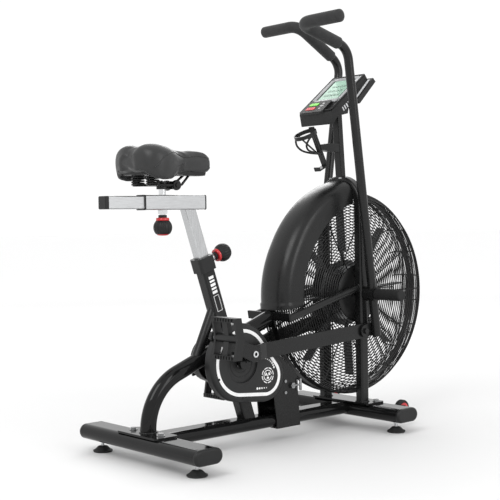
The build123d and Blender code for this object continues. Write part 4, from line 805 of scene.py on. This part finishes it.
SEAT_TILT = math.radians(18.5)
PULL = Vector((math.cos(SEAT_TILT), 0, math.sin(SEAT_TILT)))
PIN_X = ahead(71)
ball_knob("slider_ball", Vector((PIN_X, 0, 0.691)), -Z, "slider_knob", "slider_knob")
tube_piece("slider_rod", [Vector((PIN_X, 0, 0.727)), Vector((PIN_X, 0, 0.7475))], 0.004, "slider_knob",
           "zinc", ZINC, around=20)
KNOB_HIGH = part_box("post_knob")[1]
POST_BALL = Vector((KNOB_HIGH.x - 0.028, 0, KNOB_HIGH.z - 0.028))
ball_knob("post_ball", POST_BALL, PULL, "post_knob", "post_knob")
tube_piece("post_rod", [POST_BALL - PULL * 0.0536, POST_BALL - PULL * 0.036], 0.0118, "post_knob",
           "zinc", ZINC, around=20)

# ---- grips

GRIP_R = 0.0199
GRIP_START = 0.042
LEVER_TUBE_R = 0.0151
LEVER_TILT = {RIGHT: -8.3, LEFT: 9.5}
LEVER_KNEE, LEVER_CORNER, LEVER_TIP = (0, 815, 0.139), (-211, 901, 0.15), (-211, 901, 0.3268)


def grip(name, side):
    """Foam sleeve: a soft shoulder at the start, a round bend, and a rounded tip with a flat end."""
    tilt = math.radians(LEVER_TILT[side])

    def at(forward, up, y):
        x = FAN.x + (forward * math.cos(tilt) + up * math.sin(tilt)) / 1000
        z = FAN.z + (-forward * math.sin(tilt) + up * math.cos(tilt)) / 1000
        return Vector((x, side * y, z))

    knee, corner = at(*LEVER_KNEE), at(*LEVER_CORNER)
    start = knee + (corner - knee).normalized() * GRIP_START
    corners = smooth_path([start, corner, at(*LEVER_TIP)], 0.048, 22)
    path = []
    for a, b in zip(corners, corners[1:]):
        parts = max(1, int((b - a).length / 0.006))
        path += [a.lerp(b, k / parts) for k in range(parts)]
    path.append(corners[-1])
    lengths = [0.0]
    for a, b in zip(path, path[1:]):
        lengths.append(lengths[-1] + (b - a).length)
    total = lengths[-1]
    bm = bmesh.new()

    def radius(share):
        place = lengths[round(share * (len(path) - 1))]
        rise = min(1.0, place / 0.004)
        drop = min(1.0, (total - place) / 0.009)
        shoulder = LEVER_TUBE_R + (GRIP_R - LEVER_TUBE_R) * math.sqrt(1 - (1 - rise) ** 2)
        return shoulder * (0.55 + 0.45 * math.sqrt(max(0.0, 1 - (1 - drop) ** 2)))

    add_tube(bm, path, radius, around=36)
    obj = piece("foam_" + name, bm, "lever_" + name, FOAM, ("grip_" + name,))


grip("right", RIGHT)
grip("left", LEFT)

# ---- drive covers

CRANK = (298, 274)
NOSE = (395, 222)
FACE_Y = -0.088
PRINT_THICK = 0.0004
PRINT_TOP = FACE_Y - PRINT_THICK
SIGN = (402, 225)
SCREW = [(0.0, 0), (0.0042, 0), (0.0042, 0.0012), (0.0034, 0.0018), (0.0012, 0.0018), (0.0012, 0.0008),
         (0.0, 0.0008)]


def side_point(x, z, y):
    """A point from millimetres ahead of the rear stabiliser and above the floor, and y in metres."""
    return Vector((ahead(x), y, z / 1000))


def teardrop_outline(big, small, steps=60):
    """Outer hull of two circles, round the crank and the nose, as (x, z) in millimetres."""
    dx, dz = NOSE[0] - CRANK[0], NOSE[1] - CRANK[1]
    distance = math.hypot(dx, dz)
    heading = math.atan2(dz, dx)
    lean = math.acos((big - small) / distance)
    points = []
    for k in range(steps + 1):
        a = heading - lean + 2 * lean * k / steps
        points.append((NOSE[0] + small * math.cos(a), NOSE[1] + small * math.sin(a)))
    for k in range(steps + 1):
        a = heading + lean + (2 * math.pi - 2 * lean) * k / steps
        points.append((CRANK[0] + big * math.cos(a), CRANK[1] + big * math.sin(a)))
    return points


def add_print(bm, outer, inner):
    """A thin printed band between two outlines with the same number of points."""
    rings = []
    for outline, y in ((outer, FACE_Y), (outer, PRINT_TOP), (inner, PRINT_TOP), (inner, FACE_Y)):
        rings.append([bm.verts.new(side_point(x, z, y)) for x, z in outline])
    for first, second in zip(rings, rings[1:] + rings[:1]):
        bridge(bm, first, second)


def add_spot(bm, x, z, radius):
    """A printed dot, as a thin solid."""
    spots = []
    for y in (FACE_Y, PRINT_TOP):
        ring = circle_points(side_point(x, z, y), radius / 1000, y, 16)
        spots.append([bm.verts.new(point) for point in ring])
    bridge(bm, *spots)
    bm.faces.new(spots[1])
    bm.faces.new(reversed(spots[0]))


def add_arc(bm, x, z, r_in, r_out, start, sweep, count=10):
    """A printed arc, as a thin solid."""
    def ring(radius, y):
        turns = [start + sweep * k / count for k in range(count + 1)]
        return [bm.verts.new(side_point(x + radius * math.cos(a), z + radius * math.sin(a), y))
                for a in turns]

    rings = [ring(r_out, FACE_Y), ring(r_out, PRINT_TOP), ring(r_in, PRINT_TOP), ring(r_in, FACE_Y)]
    for first, second in zip(rings, rings[1:] + rings[:1]):
        for k in range(count):
            bm.faces.new((first[k], first[k + 1], second[k + 1], second[k]))
    bm.faces.new([r[0] for r in rings])
    bm.faces.new([r[-1] for r in reversed(rings)])


def housing_marks():
    """White trim line, a dashed ring with a plain fan sign, and two rows of dots."""
    bm = bmesh.new()
    add_print(bm, teardrop_outline(103, 60), teardrop_outline(92.5, 49.5))
    piece("housing_stripe", bm, "frame", WHITE, smooth=False)
    bm = bmesh.new()
    for dash in range(8):
        add_arc(bm, *SIGN, 21.5, 24.5, dash * math.pi / 4, 0.62)
    add_arc(bm, *SIGN, 14.6, 17, 0.2, 2 * math.pi - 0.4, 40)
    for blade in range(3):
        add_arc(bm, *SIGN, 4.5, 11, blade * 2 * math.pi / 3, 1.1)
    add_spot(bm, *SIGN, 2.2)
    for dot in range(5):
        add_spot(bm, 358 + dot * 9.5, 188.5 - dot * 0.4, 3.9 - dot * 0.55)
    for dot in range(7):
        a = math.radians(80 - dot * 10)
        x, z = NOSE[0] - 8 + 44 * math.cos(a), NOSE[1] + 10 + 46 * math.sin(a)
        add_spot(bm, x, z, 1.5 + dot * 0.3)
    piece("housing_sign", bm, "frame", WHITE, smooth=False)


housing_marks()


def housing_fittings():
    """Raised rings of the recess round the spindle, and the cover's screws."""
    bm = bmesh.new()
    centre = side_point(*CRANK, 0)
    rings = ((0.0605, -0.0837, 0.0014), (0.044, -0.0832, 0.0009), (0.03, -0.0832, 0.0009))
    for radius, y, wire in rings:
        add_tube(bm, circle_points(centre, radius, y, 72), wire, closed=True, around=8)
    piece("housing_rings", bm, "frame", COVER)
    places = ((228, 352), (205, 232), (300, 166), (360, 316))
    screws = [(side_point(x, z, -0.0878), -Y, SCREW, 20) for x, z in places]
    turned("housing_screws", "frame", "cover_black", TRIM, *screws)


housing_fittings()

# ---- seat tube marks

TUBE_MARK_Y = 0.0201


def tube_marks():
    """Plain white bars over an empty outlined box, on both flanks of the seat tube."""
    up = Vector((-math.sin(SEAT_TILT), 0, math.cos(SEAT_TILT)))
    for name, side in SIDES.items():
        bm = bmesh.new()
        axes = (PULL, Y * side, up)
        base = side_point(228, 560, side * TUBE_MARK_Y)
        for bar in range(5):
            tall = 0.0062 if bar % 2 else 0.0086
            add_box(bm, base - up * (0.026 + bar * 0.0118), axes, (0.019, PRINT_THICK, tall))
        for shift in (-0.0095, 0.0095):
            add_box(bm, base - up * 0.11 + PULL * shift, axes, (0.0014, PRINT_THICK, 0.05))
        for end in (-0.025, 0.025):
            add_box(bm, base - up * (0.11 + end), axes, (0.0204, PRINT_THICK, 0.0014))
        piece(f"tube_marks_{name}", bm, "frame", WHITE, smooth=False)


tube_marks()

# ---- console

SLOPE = math.radians(38)
PANEL_X = Vector((math.cos(SLOPE), 0, math.sin(SLOPE)))
PANEL_N = Vector((-math.sin(SLOPE), 0, math.cos(SLOPE)))
PANEL_AXES = (PANEL_X, Y, PANEL_N)
PANEL_FOOT = Vector((ahead(713), 0, 1.062))
SEGMENT = 0.0003


def panel(along_mm, y_mm, height_mm):
    """A point on the console's face, in millimetres along the slope, across it and above it."""
    return PANEL_FOOT + PANEL_X * along_mm / 1000 + Y * y_mm / 1000 + PANEL_N * height_mm / 1000


def add_frame(bm, along_mm, size, border, height, bevel):
    """A rectangular frame of four bars on the console's face. The bevel is in metres, the rest in mm."""
    length, width = size
    tall = height / 1000
    for end in (-1, 1):
        add_box(bm, panel(along_mm + end * (length - border) / 2, 0, height / 2), PANEL_AXES,
                (border / 1000, width / 1000, tall), bevel)
        add_box(bm, panel(along_mm, end * (width - border) / 2, height / 2), PANEL_AXES,
                (length / 1000, border / 1000, tall), bevel)


def display_segments():
    """Rows of plain open boxes with a bar in each, like a display that shows no digits."""
    bm = bmesh.new()
    for row in range(3):
        for cell in range(4):
            wide = (12 if row else 15) / 1000
            x, y = 96 + row * 26, 26 - cell * 17.5
            add_box(bm, panel(x, y, 2.15), PANEL_AXES, (0.0016, wide, SEGMENT))
            add_box(bm, panel(x + 7, y, 2.15), PANEL_AXES, (0.0012, wide * 0.7, SEGMENT))
            for end in (-1, 1):
                add_box(bm, panel(x + 3.5, y + end * (wide * 500 - 1), 2.15), PANEL_AXES,
                        (0.0065, 0.0012, SEGMENT))
    piece("display_segments", bm, "frame", TRIM, smooth=False)


def console_details():
    """Grey bezel, outer rim, display, key marks, the tray behind and marks on the shell's flanks."""
    bm = bmesh.new()
    add_frame(bm, 131, (150, 140), 17, 4.0, 0.0012)
    piece("console_bezel", bm, "frame", BEZEL)
    bm = bmesh.new()
    add_frame(bm, 107, (210, 149), 5, 5.5, 0.0015)
    piece("console_rim", bm, "frame", CONSOLE)
    display_segments()
    bm = bmesh.new()
    for along_mm, width in ((40, 9), (27, 17), (12, 8)):
        add_box(bm, panel(along_mm, -16, 9.15), PANEL_AXES, (0.0032, width / 1000, SEGMENT))
        add_box(bm, panel(along_mm - 5, -16, 9.15), PANEL_AXES, (0.0012, width * 0.6 / 1000, SEGMENT))
    piece("key_marks", bm, "frame", WHITE, smooth=False)
    bm = bmesh.new()
    wing, wing_n = (X + Z).normalized(), (Z - X).normalized()
    centre = Vector((ahead(860.5), 0, 1.1435)) + wing_n * 0.0008
    add_box(bm, centre, (wing, Y, wing_n), (0.092, 0.168, 0.0016), 0.0006)
    piece("console_tray", bm, "frame", TRAY)
    bm = bmesh.new()
    for side in (RIGHT, LEFT):
        for step in range(5):
            add_box(bm, Vector((ahead(770 + step * 9), side * 0.0753, 1.072 + step * 0.0068)),
                    PANEL_AXES, (0.0052, 0.0006, 0.0145))
    piece("console_side_marks", bm, "frame", TRAY, smooth=False)


console_details()

# ---- welds, wheel hubs, screws, crank trim

FORK_Y = 0.086
HUB = [(0.0068, 0), (0.0195, 0), (0.0205, 0.001), (0.0185, 0.0019), (0.0105, 0.0013), (0.0068, 0.0018)]
MAST_SCREW = [(0.0, 0), (0.006, 0), (0.006, 0.0012), (0.0045, 0.004), (0.0, 0.0046)]


def weld(name, points, radius):
    """A closed bead with the ripples of overlapping weld pools."""
    def ripple(share):
        return radius * (1 + 0.22 * abs(math.sin(share * len(points) * 0.5)))

    tube_piece(name, points, ripple, "frame", "frame_black", BLACK, closed=True, around=8)


def oval(centre, axis_a, axis_b, a, b, count=96):
    """Points of an ellipse on two axes."""
    return [centre + axis_a * a * math.cos(t) + axis_b * b * math.sin(t)
            for t in (2 * math.pi * k / count for k in range(count))]


def squarish(centre, a, b, count=96):
    """Level points round a square tube with rounded corners."""
    points = []
    for k in range(count):
        t = 2 * math.pi * k / count
        u = math.copysign(abs(math.cos(t)) ** 0.35, math.cos(t))
        v = math.copysign(abs(math.sin(t)) ** 0.35, math.sin(t))
        points.append(centre + X * a * u + Y * b * v)
    return points


weld("weld_arch_foot", oval(side_point(5, 90.5, 0), X, Y, 0.0255, 0.0225), 0.0026)
for name, side in SIDES.items():
    post_foot = side_point(834, 90.5, side * FORK_Y)
    weld(f"weld_post_{name}", squarish(post_foot, 0.0182, 0.0162), 0.0024)
    brace_foot = side_point(815.5, 474, side * FORK_Y)
    weld(f"weld_brace_{name}", oval(brace_foot, Vector((-0.08, 0, 0.996)), Y, 0.0138, 0.0128, 64), 0.002)
    hubs = [(middle(f"wheel_{name}") + axis * 0.0095, axis, HUB, 40) for axis in (-Y, Y)]
    turned(f"wheel_hub_{name}", f"wheel_{name}", "wheel_black", RED, *hubs)

mast_screws = [(side_point(x, z, side * 0.022), Z, MAST_SCREW, 20)
               for side in (RIGHT, LEFT) for x, z in ((806, 843), (846, 835))]
turned("mast_screws", "frame", "zinc", ZINC, *mast_screws)

THROW, THROW_ANGLE = 32, {RIGHT: 64, LEFT: 244}
CRANK_ARM, ARM_ANGLE = 170, {RIGHT: 146, LEFT: 326}
PIN_NUT = [(0.0052, -0.0004), (0.0094, -0.0004), (0.0102, 0.0006), (0.0102, 0.0034), (0.009, 0.0046),
           (0.0062, 0.0046), (0.0052, 0.0036)]
PIN_CORE = [(0.0, 0), (0.005, 0), (0.005, 0.0022), (0.0, 0.0012)]
PEDAL_NUT = [(0.0072, 0), (0.0118, 0), (0.0122, 0.0006), (0.0122, 0.0062), (0.0112, 0.0072),
             (0.0072, 0.0072)]


def on_crank(radius, degrees, y):
    """A point at a radius and an angle about the crank's axis."""
    a = math.radians(degrees)
    return side_point(CRANK[0] + radius * math.cos(a), CRANK[1] + radius * math.sin(a), y)


def crank_trim():
    """Chrome ring nuts and dark cores on the throw pins, and zinc nuts at the pedal ends."""
    for name, side in SIDES.items():
        outward = Y * side
        pin = on_crank(THROW, THROW_ANGLE[side], side * 0.1332)
        turned(f"pin_nut_{name}", "crank", "chrome", CHROME, (pin, outward, PIN_NUT, 48))
        bm = bmesh.new()
        add_revolved(bm, pin - outward * 0.0006, outward, PIN_CORE, 32)
        piece(f"pin_core_{name}", bm, "crank", KNOB)
        end = on_crank(CRANK_ARM, ARM_ANGLE[side], side * 0.1334)
        turned(f"pedal_nut_{name}", "crank", "zinc", ZINC, (end, outward, PEDAL_NUT, 36))


crank_trim()

# ---- belt tensioner

ROD_Y = -0.0515


def belt_tensioner():
    """Threaded rod and cross handle that tighten the belt, beside the jackshaft bracket."""
    bm = bmesh.new()
    rod = [side_point(x, 173, ROD_Y) for x in (540, 556, 578)]
    add_tube(bm, rod, 0.0032, around=20)
    bar = [side_point(578, z, ROD_Y) for z in (154, 156, 173, 190, 192)]
    add_tube(bm, bar, lambda share: 0.0044 if 0.1 < share < 0.9 else 0.0034, around=24)
    sharp_edges(piece("belt_tensioner", bm, "frame", ZINC))


belt_tensioner()

# ---- bottle cage

CAGE_TILT = math.radians(26)
CAGE_FOOT = (757, 884)
ARM_MARKS = ((130, 42, 37), (122, 58, 31), (106, 68, 22), (86, 60, 15), (66, 34, 12), (50, 5, 8))


def bottle_arms():
    """Two curved arms that sweep from the hoop down to the back bar of the bottle cage."""
    lean, fall = math.sin(CAGE_TILT), math.cos(CAGE_TILT)
    for name, side in SIDES.items():
        points = [side_point(CAGE_FOOT[0] - rise * lean - out * fall,
                             CAGE_FOOT[1] + rise * fall - out * lean, side * y / 1000)
                  for rise, out, y in rounded(ARM_MARKS, 8)]
        tube_piece(f"bottle_arm_{name}", points, 0.0034, "frame", "console_black", TRIM, around=12)


bottle_arms()

# ---- floor, light, camera


def studio_floor():
    """Wide matt floor with a painted shadow: its colour is darker under the bike and fades into the white
    behind.
    """
    mesh = bpy.data.meshes.new("studio_floor")
    reach = 40
    corners = ((-reach, -reach, 0), (reach, -reach, 0), (reach, reach, 0), (-reach, reach, 0))
    mesh.from_pydata(corners, [], [(0, 1, 2, 3)])
    floor = linked("studio_floor", mesh)
    graph = Graph("floor_paint", specular=0.3)
    away = graph.node("ShaderNodeVectorMath", Vector=graph.place)
    away.operation = "LENGTH"
    # painted shadow: the floor colour is 0.74 within 1.2 m of the middle and rises to 0.945 at 7 m
    painted_shadow_fade = graph.span(away.outputs["Value"], 0.0, 1.0, 1.2, 7.0)
    graph.link(graph.ramp(painted_shadow_fade, ((0.0, grey(0.74, 0.0)), (1.0, grey(0.945, 0.0)))), "Base Color")
    graph.gloss(graph.noise(90), 0.75, 0.85)
    mesh.materials.append(graph.material)


def area_light(name, place, target, size, power):
    light = bpy.data.lights.new(name, "AREA")
    light.shape = "RECTANGLE"
    light.size, light.size_y = size
    light.energy = power
    lamp = linked(name, light)
    lamp.location = place
    lamp.rotation_euler = (Vector(target) - Vector(place)).to_track_quat("-Z", "Y").to_euler()


def studio():
    studio_floor()
    world = bpy.data.worlds.new("studio_air")
    world.use_nodes = True
    background = world.node_tree.nodes["Background"]
    background.inputs["Color"].default_value = (1, 1, 1, 1)
    background.inputs["Strength"].default_value = 1.05
    bpy.context.scene.world = world
    area_light("key", (-3.2, -1.0, 3.6), (0, 0, 0.6), (2.2, 2.2), 70)
    area_light("fill", (0.6, -4.2, 2.2), (0, 0, 0.7), (1.6, 2.6), 45)
    area_light("rear", (2.6, 3.2, 3.0), (0, 0, 0.7), (2.0, 2.0), 40)
    scene = bpy.context.scene
    scene.view_settings.view_transform = "Standard"
    scene.view_settings.look = "None"


def photo_camera():
    """The view of the reference picture: low, from behind and to the right, with a long lens."""
    data = bpy.data.cameras.new("photo_camera")
    data.sensor_width = 36
    data.lens = 79.56
    data.clip_end = 200
    camera = linked("photo_camera", data)
    forward = Vector((0.6613, 0.7495, -0.0304)).normalized()
    right = Vector((0.7495, -0.6619, -0.0152)).normalized()
    up = right.cross(forward)
    rotation = Matrix((right, up, -forward)).transposed()
    camera.matrix_world = Matrix.Translation((-2.4230, -2.6244, 0.720)) @ rotation.to_4x4()
    bpy.context.scene.camera = camera


studio()
photo_camera()
